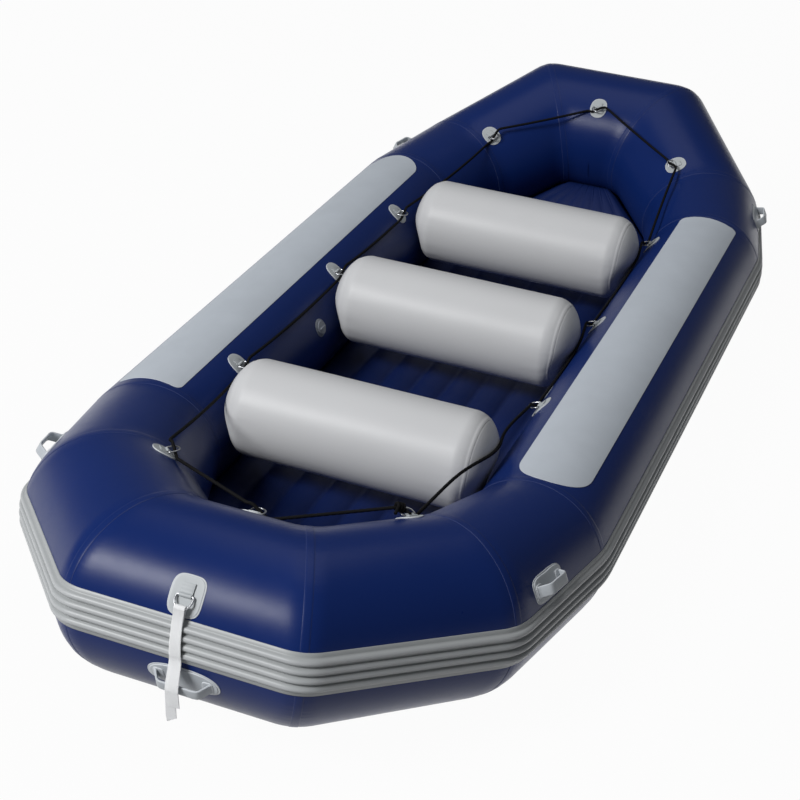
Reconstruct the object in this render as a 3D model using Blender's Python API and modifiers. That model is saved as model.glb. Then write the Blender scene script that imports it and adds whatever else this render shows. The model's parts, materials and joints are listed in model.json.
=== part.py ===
"""Inflatable river raft: a ring of mitred air tubes around an inflated floor and three thwarts, with its
strake, wear patches, valves, lifeline, tow ring and carry handles. Metres, +Z up. The bow points to -Y,
port is +X, and the raft stands on the plane Z = 0. Run with: blender --background --python part.py"""

import math

import bmesh
import bpy
from mathutils import Matrix, Vector

# Clearances
GAP = 0.0003  # between pieces that touch
SEAT = 0.0006  # under a curved piece that lies on a tube

# Tube ring: axis corners on the port side, mirrored to starboard
SIDE_X = 0.596  # half spacing of the side tubes
SIDE_Y = 1.023  # half length of their straight run
SHOULDER_X = 0.498
SHOULDER_Y = 1.403
BOW_SHOULDER_X = 0.500
BOW_SHOULDER_Y = 1.418
END_X = 0.215  # half length of the bow and stern tubes
END_Y = 1.740
BOW_SHOULDER_RISE = 0.037
BOW_RISE = 0.093
STERN_SHOULDER_RISE = 0.018
STERN_RISE = 0.175
SIDE_RADIUS = 0.208
SHOULDER_RADIUS = 0.223
BOW_SHOULDER_RADIUS = 0.238
END_RADIUS = 0.240
SKIN = 0.0012  # coated fabric of the tubes and thwarts
TUBE_SIDES = 32
PANEL_GAP = 0.0004

# Rubbing strake
STRAKE_RIBS = 4
STRAKE_RIB_PITCH = 0.0225
STRAKE_RIB_HEIGHT = 0.0085
STRAKE_BASE = 0.0035
STRAKE_SEAT = 0.0010
STRAKE_FLANGE = 0.0115
STRAKE_LEAN_END = math.radians(79.5)
STRAKE_LEAN_SHOULDER = math.radians(89.0)
STRAKE_LEAN_BOW_SHOULDER = math.radians(85.8)
STRAKE_LEAN_SIDE = math.radians(86.0)

# Wear patches on the side tubes
WEAR_BOW_Y = -0.992
WEAR_STERN_Y = 1.0
WEAR_HALF_WIDTH = 0.1080
WEAR_THICKNESS = 0.0014
WEAR_BOW_CORNER = 0.022
WEAR_LEAN = {"port": math.radians(1.6), "starboard": math.radians(8.2)}
WEAR_COLUMNS = 16

# Floor
FLOOR_THICKNESS = 0.100
FLOOR_UNDER = 0.004  # clearance under the floor amidships
FLOOR_CHANNELS = 8
FLOOR_VALLEY = 0.014
FLANGE_LEAN = math.radians(156.0)  # where the flange meets the underside of the tubes
FLANGE_THICKNESS = 0.0016
FLANGE_TURN = math.radians(45.0)  # where it leaves the floor's rounded edge, under its widest line

# Thwarts: air cylinders across the cockpit
THWART_Y = (-0.856, -0.045, 0.689)
THWART_HEIGHT = 0.324
THWART_RADIUS = 0.150
THWART_SHOULDER = 0.050
THWART_CROWN = 0.008
THWART_SIDES = 28

# Baffles inside the bow and stern tubes
BAFFLE_DOME = 0.055
BAFFLE_HEM = 0.022

# Air valves
VALVE_FLANGE_RADIUS = 0.030
VALVE_FLANGE = 0.003
VALVE_BARREL_RADIUS = 0.0180
VALVE_CUP_RADIUS = 0.0140
VALVE_DEPTH = 0.030
VALVE_SEAT_RADIUS = 0.0060
VALVE_SEAT = 0.004
CAP_RADIUS = 0.0235
CAP_THICKNESS = 0.0050
CAP_PLUG_DEPTH = 0.012
CAP_BAR = (0.036, 0.006, 0.005)
VALVE_STEPS = 20
TUBE_VALVE_Y = -0.235
TUBE_VALVE_LEAN = {"port": math.radians(-80.0), "starboard": math.radians(-68.0)}
THWART_VALVE_X = 0.20

# Lifeline fittings
LIFE_PATCH_HALF = (0.033, 0.041)
LIFE_WIRE = 0.00225
LIFE_RING_HALF = 0.0190
LIFE_RING_ARM = 0.014
LIFE_RING_TILT = math.radians(38.0)
LIFE_LEAN_STARBOARD = math.radians(-40.5)
LIFE_LEAN_PORT = math.radians(-54.0)
LIFE_LEAN_SHOULDER = math.radians(-30.0)
LIFE_LEAN_BOW_SHOULDER = math.radians(-34.0)
LIFE_LEAN_BOW = math.radians(-47.0)
LIFE_LEAN_STERN = math.radians(-43.0)
LIFE_SIDE_Y = {"starboard": (-0.716, 0.020, 0.583), "port": (-0.471, 0.133, 0.850)}
LIFE_SHOULDER_SHARE = 0.17  # from the shoulder along the corner tube
LIFE_STERN_STARBOARD_SHARE = 0.13
LIFE_LEAN_STERN_STARBOARD = math.radians(-36.0)
ROPE_RADIUS = 0.0045
ROPE_RISE = 0.0125  # how far the rope passes above and below a ring's plane
ROPE_SAG = 0.006
ROPE_SAG_SPAN = 0.55  # the span that sags as much as that
ROPE_STEPS = 7

# Tow fitting
TOW_PATCH_HALF = (0.045, 0.052)
TOW_STRAKE_GAP = 0.0025  # between the patch and the strake
TOW_WIRE = 0.0027
TOW_RING_HALF = 0.0230
TOW_RING_ARM = 0.012
TOW_RING_TILT = math.radians(14.0)
TOW_STRAP_HALF_WIDTH = 0.013
TOW_STRAP_HALF = 0.0017
TOW_STRAP_EYE = 0.0062
TOW_STRAP_EYE_SHIFT = 0.0023  # towards the bar, to clear the curve of the ring
TOW_STRAP_END_Z = 0.135

# Webbing loops that hold the rings
PATCH_THICKNESS = 0.0022
LOOP_CLEARANCE = 0.0003
LOOP_WEBBING = 0.0018
LIFE_LOOP_HALF = 0.0125
TOW_LOOP_HALF = 0.0170
LOOP_TAIL = 0.020

# Carry handles
HANDLE_BASE_HALF = (0.076, 0.037)
HANDLE_SPAN_HALF = 0.042
HANDLE_FOOT = 0.020
HANDLE_RISE = 0.036
HANDLE_BAR = 0.006
HANDLE_HALF_WIDTH = 0.015
HANDLE_STRAKE_GAP = 0.0070
HANDLE_Y = 1.330
BOW_CORNER_HANDLE_Y = 1.345
BOW_HANDLE_BASE_HALF = (0.098, 0.040)
BOW_HANDLE_SPAN_HALF = 0.056
BOW_HANDLE_STRAKE_GAP = 0.0180
BOW_HANDLE_X = 0.010

NAVY = (0.012, 0.024, 0.10, 1.0)
GREY = (0.50, 0.51, 0.52, 1.0)
PALE = (0.60, 0.62, 0.61, 1.0)
BLACK = (0.01, 0.01, 0.012, 1.0)
STEEL = (0.70, 0.70, 0.70, 1.0)

AXIS_Z = SIDE_RADIUS * math.cos(math.pi / TUBE_SIDES)  # a flat of each side tube lies on Z = 0
UP = Vector((0.0, 0.0, 1.0))


# Scene and materials
def clear_scene():
    for thing in list(bpy.data.objects):
        bpy.data.objects.remove(thing, do_unlink=True)
    for name in ("Inflatable raft", "Cutters"):
        bpy.context.scene.collection.children.link(bpy.data.collections.new(name))


def material(name, colour, roughness, metallic=0.0):
    made = bpy.data.materials.new(name)
    made.use_nodes = True
    shader = made.node_tree.nodes["Principled BSDF"]
    shader.inputs["Base Color"].default_value = colour
    shader.inputs["Roughness"].default_value = roughness
    shader.inputs["Metallic"].default_value = metallic
    return made


def add_object(name, data, finish=None, place=None, cutter=False):
    made = bpy.data.objects.new(name, data)
    bpy.data.collections["Cutters" if cutter else "Inflatable raft"].objects.link(made)
    if place is not None:
        made.matrix_world = place
    if cutter:
        made.hide_render = True
        made.display_type = "WIRE"
    elif finish is not None:
        data.materials.append(material(name + "_finish", *finish))
    return made


def mesh_from(name, bm, smooth=True):
    bmesh.ops.recalc_face_normals(bm, faces=bm.faces)
    if bm.calc_volume(signed=True) < 0.0:
        bmesh.ops.reverse_faces(bm, faces=bm.faces)
    mesh = bpy.data.meshes.new(name)
    bm.to_mesh(mesh)
    bm.free()
    if smooth:
        mesh.shade_smooth()
        mesh.set_sharp_from_angle(angle=math.radians(35.0))
    return mesh


def band(bm, here, ahead):
    """Faces between two closed sections, each split along the same diagonal."""
    for step in range(len(here)):
        after = (step + 1) % len(here)
        bm.faces.new((here[step], here[after], ahead[after]))
        bm.faces.new((here[step], ahead[after], ahead[step]))


def boolean(target, other, operation):
    cut = target.modifiers.new(operation.lower() + "_" + other.name, "BOOLEAN")
    cut.operation = operation
    cut.object = other
    cut.solver = "EXACT"


def solidify(target, thickness, offset):
    wall = target.modifiers.new("wall", "SOLIDIFY")
    wall.thickness = thickness
    wall.offset = offset


# Tube ring
def ring_corners():
    """(place, radius, strake lean) of each axis corner, anticlockwise from the bow's starboard end."""
    end = (END_X, END_Y, END_RADIUS, STRAKE_LEAN_END)
    shoulder = (SHOULDER_X, SHOULDER_Y, SHOULDER_RADIUS, STRAKE_LEAN_SHOULDER)
    bow_shoulder = (BOW_SHOULDER_X, BOW_SHOULDER_Y, BOW_SHOULDER_RADIUS, STRAKE_LEAN_BOW_SHOULDER)
    side = (SIDE_X, SIDE_Y, SIDE_RADIUS, STRAKE_LEAN_SIDE)
    port = [(end, -1, BOW_RISE), (bow_shoulder, -1, BOW_SHOULDER_RISE), (side, -1, 0.0)]
    port += [(side, 1, 0.0), (shoulder, 1, STERN_SHOULDER_RISE), (end, 1, STERN_RISE)]
    corners = []
    for sign, run in ((1, port), (-1, port[::-1])):
        for (x, y, radius, lean), stern, rise in run:
            corners.append((Vector((sign * x, stern * y, AXIS_Z + rise)), radius, lean))
    return corners[-1:] + corners[:-1]


CORNERS = ring_corners()
BOW, BOW_PORT, BOW_PORT_SHOULDER, PORT, STERN_PORT_SHOULDER, STERN_PORT = range(6)
STERN, STERN_STARBOARD, STERN_STARBOARD_SHOULDER = range(6, 9)
STARBOARD, BOW_STARBOARD_SHOULDER, BOW_STARBOARD = range(9, 12)


def corner_point(index, lean, radius, shift=0.0):
    """A point where two tubes meet in a mitre, at lean from the top: outboard is positive."""
    here = CORNERS[index % 12][0]
    ahead = (CORNERS[(index + 1) % 12][0] - here).normalized()
    behind = (here - CORNERS[(index - 1) % 12][0]).normalized()
    normal = (ahead + behind).normalized()
    point = here + normal * shift
    for axis in (ahead, behind):
        up = (UP - axis * UP.dot(axis)).normalized()
        spoke = up * radius * math.cos(lean) + axis.cross(up) * radius * math.sin(lean)
        point += (spoke - axis * spoke.dot(normal) / axis.dot(normal)) / 2
    return point


def skin_point(segment, share, lean, lift=0.0):
    first = corner_point(segment, lean, CORNERS[segment % 12][1] + lift)
    last = corner_point(segment + 1, lean, CORNERS[(segment + 1) % 12][1] + lift)
    return first.lerp(last, share)


def skin_radius(segment, share):
    first, last = CORNERS[segment % 12][1], CORNERS[(segment + 1) % 12][1]
    return first + (last - first) * share


def beside_strake(segment, share, half_width, gap):
    """Lean of a patch whose edge clears the strake by the gap; both are negative below the strake."""
    first, last = CORNERS[segment % 12][2], CORNERS[(segment + 1) % 12][2]
    strake = STRAKE_RIBS * STRAKE_RIB_PITCH / 2 + STRAKE_FLANGE
    arc = math.copysign(strake, gap) + half_width + gap
    return first + (last - first) * share - arc / skin_radius(segment, share)


def skin_frame(segment, share, lean):
    """Place on a tube: X along it, Z out of it and -Y down its flank."""
    step = 0.001
    here = skin_point(segment, share, lean)
    along = (skin_point(segment, share + step, lean) - skin_point(segment, share - step, lean)).normalized()
    around = skin_point(segment, share, lean + step) - skin_point(segment, share, lean - step)
    out = around.cross(along).normalized()
    side = out.cross(along)
    if lean < 0.0:
        along, side = -along, -side
    return Matrix.Translation(here) @ Matrix((along, side, out)).transposed().to_4x4()


def share_at_y(segment, y, lean):
    first, last = skin_point(segment, 0.0, lean).y, skin_point(segment, 1.0, lean).y
    return (y - first) / (last - first)


def tube_panel(name, first, last):
    """Fabric shell along the axis corners first..last, open at its mitred ends."""
    bm = bmesh.new()
    leans = [math.tau * (step + 0.5) / TUBE_SIDES for step in range(TUBE_SIDES)]
    skins = []
    for inset in (0.0, SKIN):
        rings = []
        for index in range(first, last + 1):
            shift = PANEL_GAP * ((index == first) - (index == last))
            radius = CORNERS[index % 12][1] - inset
            rings.append([bm.verts.new(corner_point(index, lean, radius, shift)) for lean in leans])
        for here, ahead in zip(rings, rings[1:]):
            band(bm, here, ahead)
        skins.append(rings)
    for end in (0, -1):
        band(bm, skins[0][end], skins[1][end])
    return add_object(name, mesh_from(name, bm), (NAVY, 0.32))


def tubes():
    made = {}
    for name, first, last in (
        ("bow_tube", BOW, BOW_PORT),
        ("bow_port_corner_tube", BOW_PORT, BOW_PORT_SHOULDER),
        ("port_side_tube", BOW_PORT_SHOULDER, STERN_PORT),
        ("stern_port_corner_tube", STERN_PORT, STERN),
        ("stern_tube", STERN, STERN_STARBOARD),
        ("stern_starboard_corner_tube", STERN_STARBOARD, STERN_STARBOARD_SHOULDER),
        ("starboard_side_tube", STERN_STARBOARD_SHOULDER, BOW_STARBOARD),
        ("bow_starboard_corner_tube", BOW_STARBOARD, BOW + 12),
    ):
        made[name] = tube_panel(name, first, last)
    return made


def turned(name, profile, steps, finish=None, place=None, cutter=False, closed=False):
    """A profile of (radius, height) pairs turned about the local Z axis."""
    bm = bmesh.new()
    points = [bm.verts.new((radius, 0.0, height)) for radius, height in profile]
    for here, ahead in zip(points, points[1:] + (points[:1] if closed else [])):
        bm.edges.new((here, ahead))
    mesh = bpy.data.meshes.new(name)
    bm.to_mesh(mesh)
    bm.free()
    made = add_object(name, mesh, finish, place, cutter)
    screw = made.modifiers.new("turn", "SCREW")
    screw.axis = "Z"
    screw.steps = steps
    screw.render_steps = steps
    screw.use_merge_vertices = True
    screw.merge_threshold = 0.00001
    screw.use_smooth_shade = True
    return made


def baffle(name, segment, facing):
    """Domed fabric wall that parts two air chambers, hemmed to the inside of the tube."""
    middle = (CORNERS[segment][0] + CORNERS[(segment + 1) % 12][0]) / 2
    rim = (END_RADIUS - SKIN) * math.cos(math.pi / TUBE_SIDES) - GAP
    outer = [(0.0, BAFFLE_DOME)]
    for step in range(1, 6):
        turn = math.pi / 2 * step / 5
        outer.append((rim * math.sin(turn), BAFFLE_DOME * math.cos(turn)))
    outer.append((rim, -BAFFLE_HEM))
    inner = []
    for step, (radius, height) in enumerate(outer):
        inner.append((max(radius - SKIN, 0.0), height - (SKIN if step < 6 else 0.0)))
    turn = Matrix.Rotation(math.copysign(math.pi / 2, facing), 4, "Y")
    turned(name, outer + inner[::-1], TUBE_SIDES, (NAVY, 0.5), Matrix.Translation(middle) @ turn)


# Rubbing strake
def strake_profile():
    """(arc distance from the strake's middle, height over the tube) of its outer face, from top to bottom."""
    half = STRAKE_RIBS * STRAKE_RIB_PITCH / 2
    face = [(-half - STRAKE_FLANGE, STRAKE_BASE * 0.6), (-half, STRAKE_BASE * 0.6)]
    for rib in range(STRAKE_RIBS):
        start = -half + rib * STRAKE_RIB_PITCH
        face.append((start + 0.10 * STRAKE_RIB_PITCH, STRAKE_BASE))
        for share, rise in ((0.28, 0.78), (0.5, 1.0), (0.72, 0.78)):
            face.append((start + share * STRAKE_RIB_PITCH, STRAKE_BASE + rise * STRAKE_RIB_HEIGHT))
        face.append((start + 0.90 * STRAKE_RIB_PITCH, STRAKE_BASE))
    face += [(half, STRAKE_BASE * 0.6), (half + STRAKE_FLANGE, STRAKE_BASE * 0.6)]
    return face


def rub_strake():
    face = strake_profile()
    edge = face[-1][0]
    back = [(edge * (1.0 - 2.0 * step / 8), STRAKE_SEAT) for step in range(9)]
    outline = face + back
    bm = bmesh.new()
    rings = []
    for index, (_, radius, middle) in enumerate(CORNERS):
        rings.append(
            [bm.verts.new(corner_point(index, middle + arc / radius, radius + rise)) for arc, rise in outline]
        )
    for here, ahead in zip(rings, rings[1:] + rings[:1]):
        band(bm, here, ahead)
    add_object("rub_strake", mesh_from("rub_strake", bm), (PALE, 0.45))


# Curved patches that lie on a tube
def ladder_mesh(name, rows):
    """Surface between the two ends of each row of points."""
    bm = bmesh.new()
    made = [[bm.verts.new(point) for point in row] for row in rows]
    for here, ahead in zip(made, made[1:]):
        corners = [here[0], here[-1], ahead[-1], ahead[0]]
        corners = [point for step, point in enumerate(corners) if point not in corners[:step]]
        bm.faces.new(corners)
    bmesh.ops.recalc_face_normals(bm, faces=bm.faces)
    if sum(face.normal.z for face in bm.faces) < 0.0:
        bmesh.ops.reverse_faces(bm, faces=bm.faces)
    mesh = bpy.data.meshes.new(name)
    bm.to_mesh(mesh)
    bm.free()
    mesh.shade_smooth()
    mesh.set_sharp_from_angle(angle=math.radians(35.0))
    return mesh


def patch_on_tube(name, place, radius, half, power, thickness, finish, cutter=False):
    """Patch of superellipse outline, bent to the tube under it."""
    half_x, half_y = half
    rows = []
    levels = 9
    for level in range(levels + 1):
        share = math.sin(-math.pi / 2 + math.pi * level / levels)
        x = half_x * max(1.0 - abs(share) ** power, 0.0) ** (1 / power)
        y = half_y * share
        drop = (radius + SEAT) * math.cos(y / radius) - radius
        across = (radius + SEAT) * math.sin(y / radius)
        rows.append([(-x, across, drop)] if x < 0.0001 else [(-x, across, drop), (x, across, drop)])
    made = add_object(name, ladder_mesh(name, rows), finish, place, cutter)
    solidify(made, thickness, 1.0)
    return made


def wear_patch(name, segment, side):
    rows = []
    for column in range(WEAR_COLUMNS + 1):
        turn = -math.pi / 2 + math.pi * column / WEAR_COLUMNS
        arc = WEAR_HALF_WIDTH * math.sin(turn)
        lean = WEAR_LEAN[side] + arc / SIDE_RADIUS
        past = max(abs(arc) - (WEAR_HALF_WIDTH - WEAR_BOW_CORNER), 0.0)
        bow_y = WEAR_BOW_Y + WEAR_BOW_CORNER - math.sqrt(max(WEAR_BOW_CORNER**2 - past**2, 0.0))
        stern_y = WEAR_STERN_Y - WEAR_HALF_WIDTH * (1.0 - math.cos(turn))
        rows.append([skin_point(segment, share_at_y(segment, y, lean), lean, SEAT) for y in (bow_y, stern_y)])
    made = add_object(name, ladder_mesh(name, rows), (GREY, 0.5))
    solidify(made, WEAR_THICKNESS, 1.0)


# Floor
def floor_core():
    """Port half of the line that the floor's rounded edge turns about, bow to stern, at each axis corner."""
    core = []
    for index in range(BOW_PORT, STERN + 1):
        place, radius, _ = CORNERS[index]
        reach = radius + FLOOR_THICKNESS / 2 + GAP
        fall = (AXIS_Z - FLOOR_UNDER - FLOOR_THICKNESS / 2) * radius / SIDE_RADIUS
        core.append(corner_point(index, -(math.pi - math.acos(fall / reach)), reach))
    return core


def plan_line(core, offset):
    """The core line in plan, moved outwards by offset, as (x, y, z)."""
    across = [Vector((-point.x, point.y, point.z)) for point in (core[0], core[-1])]
    run = [across[0]] + core + [across[1]]
    line = []
    for before, here, after in zip(run, run[1:], run[2:]):
        first = Vector((here.y - before.y, before.x - here.x)).normalized()
        second = Vector((after.y - here.y, here.x - after.x)).normalized()
        mitre = (first + second) / (1.0 + first.dot(second))
        line.append((here.x + mitre.x * offset, here.y + mitre.y * offset, here.z))
    return line


def along_line(line, y):
    """(x, z) of a line at y, held at its ends."""
    y = min(max(y, line[0][1]), line[-1][1])
    for (x, early, z), (later_x, late, later_z) in zip(line, line[1:]):
        if y <= late:
            share = (y - early) / (late - early)
            return x + (later_x - x) * share, z + (later_z - z) * share
    return line[-1][0], line[-1][2]


def floor():
    core = floor_core()
    half = FLOOR_THICKNESS / 2
    outer = plan_line(core, half)
    stops = {0.0}
    for line in (plan_line(core, 0.0), outer):
        stops |= {y for _, y, _ in line[1:-1]}
    for end, side in ((core[0].y, -1), (core[-1].y, 1)):
        stops |= {end + side * half * math.sin(math.radians(turn)) for turn in (0.0, 30.0, 60.0, 80.0)}
    bm = bmesh.new()
    rings = []
    for y in sorted(stops):
        past = max(core[0].y - y, y - core[-1].y, 0.0)
        swell = math.sqrt(1.0 - (past / half) ** 2)
        height = along_line(outer, y)[1]
        section = []
        for step in range(-2, 3):
            turn = math.pi * step / 6
            section.append((along_line(plan_line(core, half * math.cos(turn)), y)[0], half * math.sin(turn)))
        flat = section[-1][0]
        pitch = 2 * flat / FLOOR_CHANNELS
        for channel in range(FLOOR_CHANNELS):
            right = flat - channel * pitch
            section.append((right - 0.12 * pitch, half - 0.35 * FLOOR_VALLEY))
            section.append((right - 0.50 * pitch, half))
            section.append((right - 0.88 * pitch, half - 0.35 * FLOOR_VALLEY))
            if channel < FLOOR_CHANNELS - 1:
                section.append((right - pitch, half - FLOOR_VALLEY))
        section += [(-x, z) for x, z in section[4::-1]]
        section.append((0.0, -half))
        rings.append([bm.verts.new((x, y, height + z * swell)) for x, z in section])
    for here, ahead in zip(rings, rings[1:]):
        band(bm, here, ahead)
    bm.faces.new(rings[0])
    bm.faces.new(rings[-1])
    made = add_object("floor", mesh_from("floor", bm), (NAVY, 0.45))
    solidify(made, SKIN, -1.0)
    return made


def floor_flange():
    """Flat fabric skirt that joins the floor's lower edge to the underside of the tubes."""
    core = floor_core()
    half = FLOOR_THICKNESS / 2
    outer = plan_line(core, half)
    port = []
    for index, (x, y, _) in enumerate(plan_line(core, half * math.cos(FLANGE_TURN) + FLANGE_THICKNESS)):
        height = along_line(outer, y)[1] - half * math.sin(FLANGE_TURN) - GAP
        radius = CORNERS[BOW_PORT + index][1] + SEAT
        port.append((Vector((x, y, height)), corner_point(BOW_PORT + index, -FLANGE_LEAN, radius)))
    mirror = Matrix.Scale(-1.0, 3, (1.0, 0.0, 0.0))
    starboard = [(mirror @ inner, mirror @ sill) for inner, sill in reversed(port)]
    down = UP * FLANGE_THICKNESS
    bm = bmesh.new()
    rings = []
    for inner, sill in port + starboard:
        rings.append([bm.verts.new(point) for point in (inner, sill, sill - down, inner - down)])
    for here, ahead in zip(rings, rings[1:] + rings[:1]):
        # The underside is split along the same diagonals as the top, so that the sheet keeps its thickness.
        for first, last in ((0, 1), (1, 2), (3, 2), (3, 0)):
            bm.faces.new((here[first], here[last], ahead[last]))
            bm.faces.new((here[first], ahead[last], ahead[first]))
    add_object("floor_flange", mesh_from("floor_flange", bm), (NAVY, 0.5))


# Thwarts
def thwart_half_length():
    """To the middle of the shoulder's arc, where the shoulder bears on the flat of the side tube."""
    reach = SIDE_RADIUS + THWART_SHOULDER + GAP
    fall = THWART_HEIGHT - (THWART_RADIUS - THWART_SHOULDER) - AXIS_Z
    return SIDE_X - math.sqrt(reach**2 - fall**2)


def thwart(name, y):
    middle = thwart_half_length()
    core = THWART_RADIUS - THWART_SHOULDER
    outer = [(0.0, middle + THWART_SHOULDER + THWART_CROWN)]
    outer.append((core * 0.6, middle + THWART_SHOULDER + THWART_CROWN * 0.65))
    for step in range(5):
        turn = math.pi / 2 * step / 4
        outer.append((core + THWART_SHOULDER * math.sin(turn), middle + THWART_SHOULDER * math.cos(turn)))
    outer += [(radius, -height) for radius, height in outer[::-1]]
    place = Matrix.Translation((0.0, y, THWART_HEIGHT)) @ Matrix.Rotation(math.pi / 2, 4, "Y")
    made = turned(name, outer, THWART_SIDES, (GREY, 0.40), place)
    solidify(made, SKIN, -1.0)
    return made


# Valves
def valve_profile():
    """Outer side from the flange down, then the cup back up: a turned body with an air way through it."""
    return [
        (VALVE_FLANGE_RADIUS - 0.001, VALVE_FLANGE),
        (VALVE_FLANGE_RADIUS, VALVE_FLANGE - 0.001),
        (VALVE_FLANGE_RADIUS, 0.0),
        (VALVE_BARREL_RADIUS, 0.0),
        (VALVE_BARREL_RADIUS, -VALVE_DEPTH),
        (VALVE_SEAT_RADIUS, -VALVE_DEPTH),
        (VALVE_SEAT_RADIUS, -VALVE_DEPTH + VALVE_SEAT),
        (VALVE_CUP_RADIUS, -VALVE_DEPTH + VALVE_SEAT),
        (VALVE_CUP_RADIUS, VALVE_FLANGE),
    ]


def valve_bore(name, place, target):
    depth = VALVE_DEPTH + 0.02
    bm = bmesh.new()
    bore = VALVE_BARREL_RADIUS + SEAT
    bmesh.ops.create_cone(
        bm, cap_ends=True, segments=VALVE_STEPS, radius1=bore, radius2=bore, depth=2 * depth
    )
    cutter = add_object(name, mesh_from(name, bm, smooth=False), None, place, cutter=True)
    boolean(target, cutter, "DIFFERENCE")


def cap_body(name, place, finish=None, cutter=False, lift=GAP):
    """Cap with a plug that fills the cup's mouth and a bar to turn it by."""
    plug = VALVE_CUP_RADIUS - GAP
    base = VALVE_FLANGE + lift
    profile = [
        (0.0, base + CAP_THICKNESS),
        (CAP_RADIUS - 0.0012, base + CAP_THICKNESS),
        (CAP_RADIUS, base + CAP_THICKNESS - 0.0012),
        (CAP_RADIUS, base),
        (plug, base),
        (plug, base - CAP_PLUG_DEPTH),
        (0.0, base - CAP_PLUG_DEPTH),
    ]
    made = turned(name, profile, VALVE_STEPS, finish, place, cutter)
    bm = bmesh.new()
    bmesh.ops.create_cube(bm, size=1.0)
    length, width, rise = CAP_BAR
    bmesh.ops.scale(bm, vec=(length, width, 2 * rise), verts=bm.verts)
    bmesh.ops.translate(bm, vec=(0.0, 0.0, base + CAP_THICKNESS), verts=bm.verts)
    bar = add_object(name + "_bar", mesh_from(name + "_bar", bm, smooth=False), None, place, cutter=True)
    boolean(made, bar, "UNION")
    return made


def valve(body_name, cap_name, place, target):
    seated = place @ Matrix.Translation((0.0, 0.0, SEAT))
    valve_bore(body_name + "_bore", seated, target)
    body = turned(body_name, valve_profile(), VALVE_STEPS, (BLACK, 0.45), seated, closed=True)
    if cap_name:
        cap_body(cap_name, seated, (BLACK, 0.4))
    else:
        boolean(body, cap_body(body_name + "_cap", seated, cutter=True, lift=-0.0008), "UNION")


# Rings and the patches that hold them
def loop_height(wire):
    return SEAT + PATCH_THICKNESS + LOOP_WEBBING + wire


def ring_patch(name, place, radius, half, power, wire, loop_half):
    """Patch with a webbing loop round the ring's bar, which lies on the local X axis."""
    made = patch_on_tube(name, place, radius, half, power, PATCH_THICKNESS, (PALE, 0.5))
    height = loop_height(wire)
    loop_radius = wire + LOOP_CLEARANCE + LOOP_WEBBING
    bm = bmesh.new()
    ends = {"radius1": loop_radius, "radius2": loop_radius, "depth": 2 * loop_half}
    bmesh.ops.create_cone(bm, cap_ends=True, segments=12, **ends)
    bmesh.ops.rotate(bm, cent=(0, 0, 0), matrix=Matrix.Rotation(math.pi / 2, 3, "Y"), verts=bm.verts)
    bmesh.ops.translate(bm, vec=(0.0, 0.0, height), verts=bm.verts)
    eye = add_object(name + "_loop", mesh_from(name + "_loop", bm, smooth=False), None, place, cutter=True)
    tail_top = SEAT + PATCH_THICKNESS + 2 * LOOP_WEBBING
    bm = bmesh.new()
    bmesh.ops.create_cube(bm, size=1.0)
    tail_base = SEAT + 0.4 * PATCH_THICKNESS
    bmesh.ops.scale(bm, vec=(2 * loop_half * 0.995, LOOP_TAIL, tail_top - tail_base), verts=bm.verts)
    bmesh.ops.translate(bm, vec=(0.0, LOOP_TAIL / 2, (tail_top + tail_base) / 2), verts=bm.verts)
    tail = add_object(name + "_tail", mesh_from(name + "_tail", bm, smooth=False), None, place, cutter=True)
    bore = wire + LOOP_CLEARANCE
    bm = bmesh.new()
    bmesh.ops.create_cone(bm, cap_ends=True, segments=12, radius1=bore, radius2=bore, depth=4 * loop_half)
    bmesh.ops.rotate(bm, cent=(0, 0, 0), matrix=Matrix.Rotation(math.pi / 2, 3, "Y"), verts=bm.verts)
    bmesh.ops.translate(bm, vec=(0.0, 0.0, height), verts=bm.verts)
    hole = add_object(name + "_hole", mesh_from(name + "_hole", bm, smooth=False), None, place, cutter=True)
    boolean(made, eye, "UNION")
    boolean(made, tail, "UNION")
    boolean(made, hole, "DIFFERENCE")


def curve_object(name, paths, bevel, finish, place=None, cyclic=True, resolution=1):
    data = bpy.data.curves.new(name, "CURVE")
    data.dimensions = "3D"
    data.bevel_depth = bevel
    data.bevel_resolution = resolution
    data.use_fill_caps = True
    for path in paths:
        spline = data.splines.new("POLY")
        spline.points.add(len(path) - 1)
        for point, place_of in zip(spline.points, path):
            point.co = (*place_of, 1.0)
        spline.use_cyclic_u = cyclic
    return add_object(name, data, finish, place)


def ring_place(place, wire, tilt):
    return place @ Matrix.Translation((0.0, 0.0, loop_height(wire))) @ Matrix.Rotation(-tilt, 4, "X")


def d_ring(name, place, wire, half, arm, tilt):
    """D of round wire: its bar lies on the local X axis, and its bow hangs to -Y."""
    path = [(-half, 0.0, 0.0), (half, 0.0, 0.0), (half, -arm, 0.0)]
    for step in range(1, 6):
        turn = math.pi * step / 6
        path.append((half * math.cos(turn), -arm - half * math.sin(turn), 0.0))
    path.append((-half, -arm, 0.0))
    curve_object(name, [path], wire, (STEEL, 0.3, 1.0), ring_place(place, wire, tilt))


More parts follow.
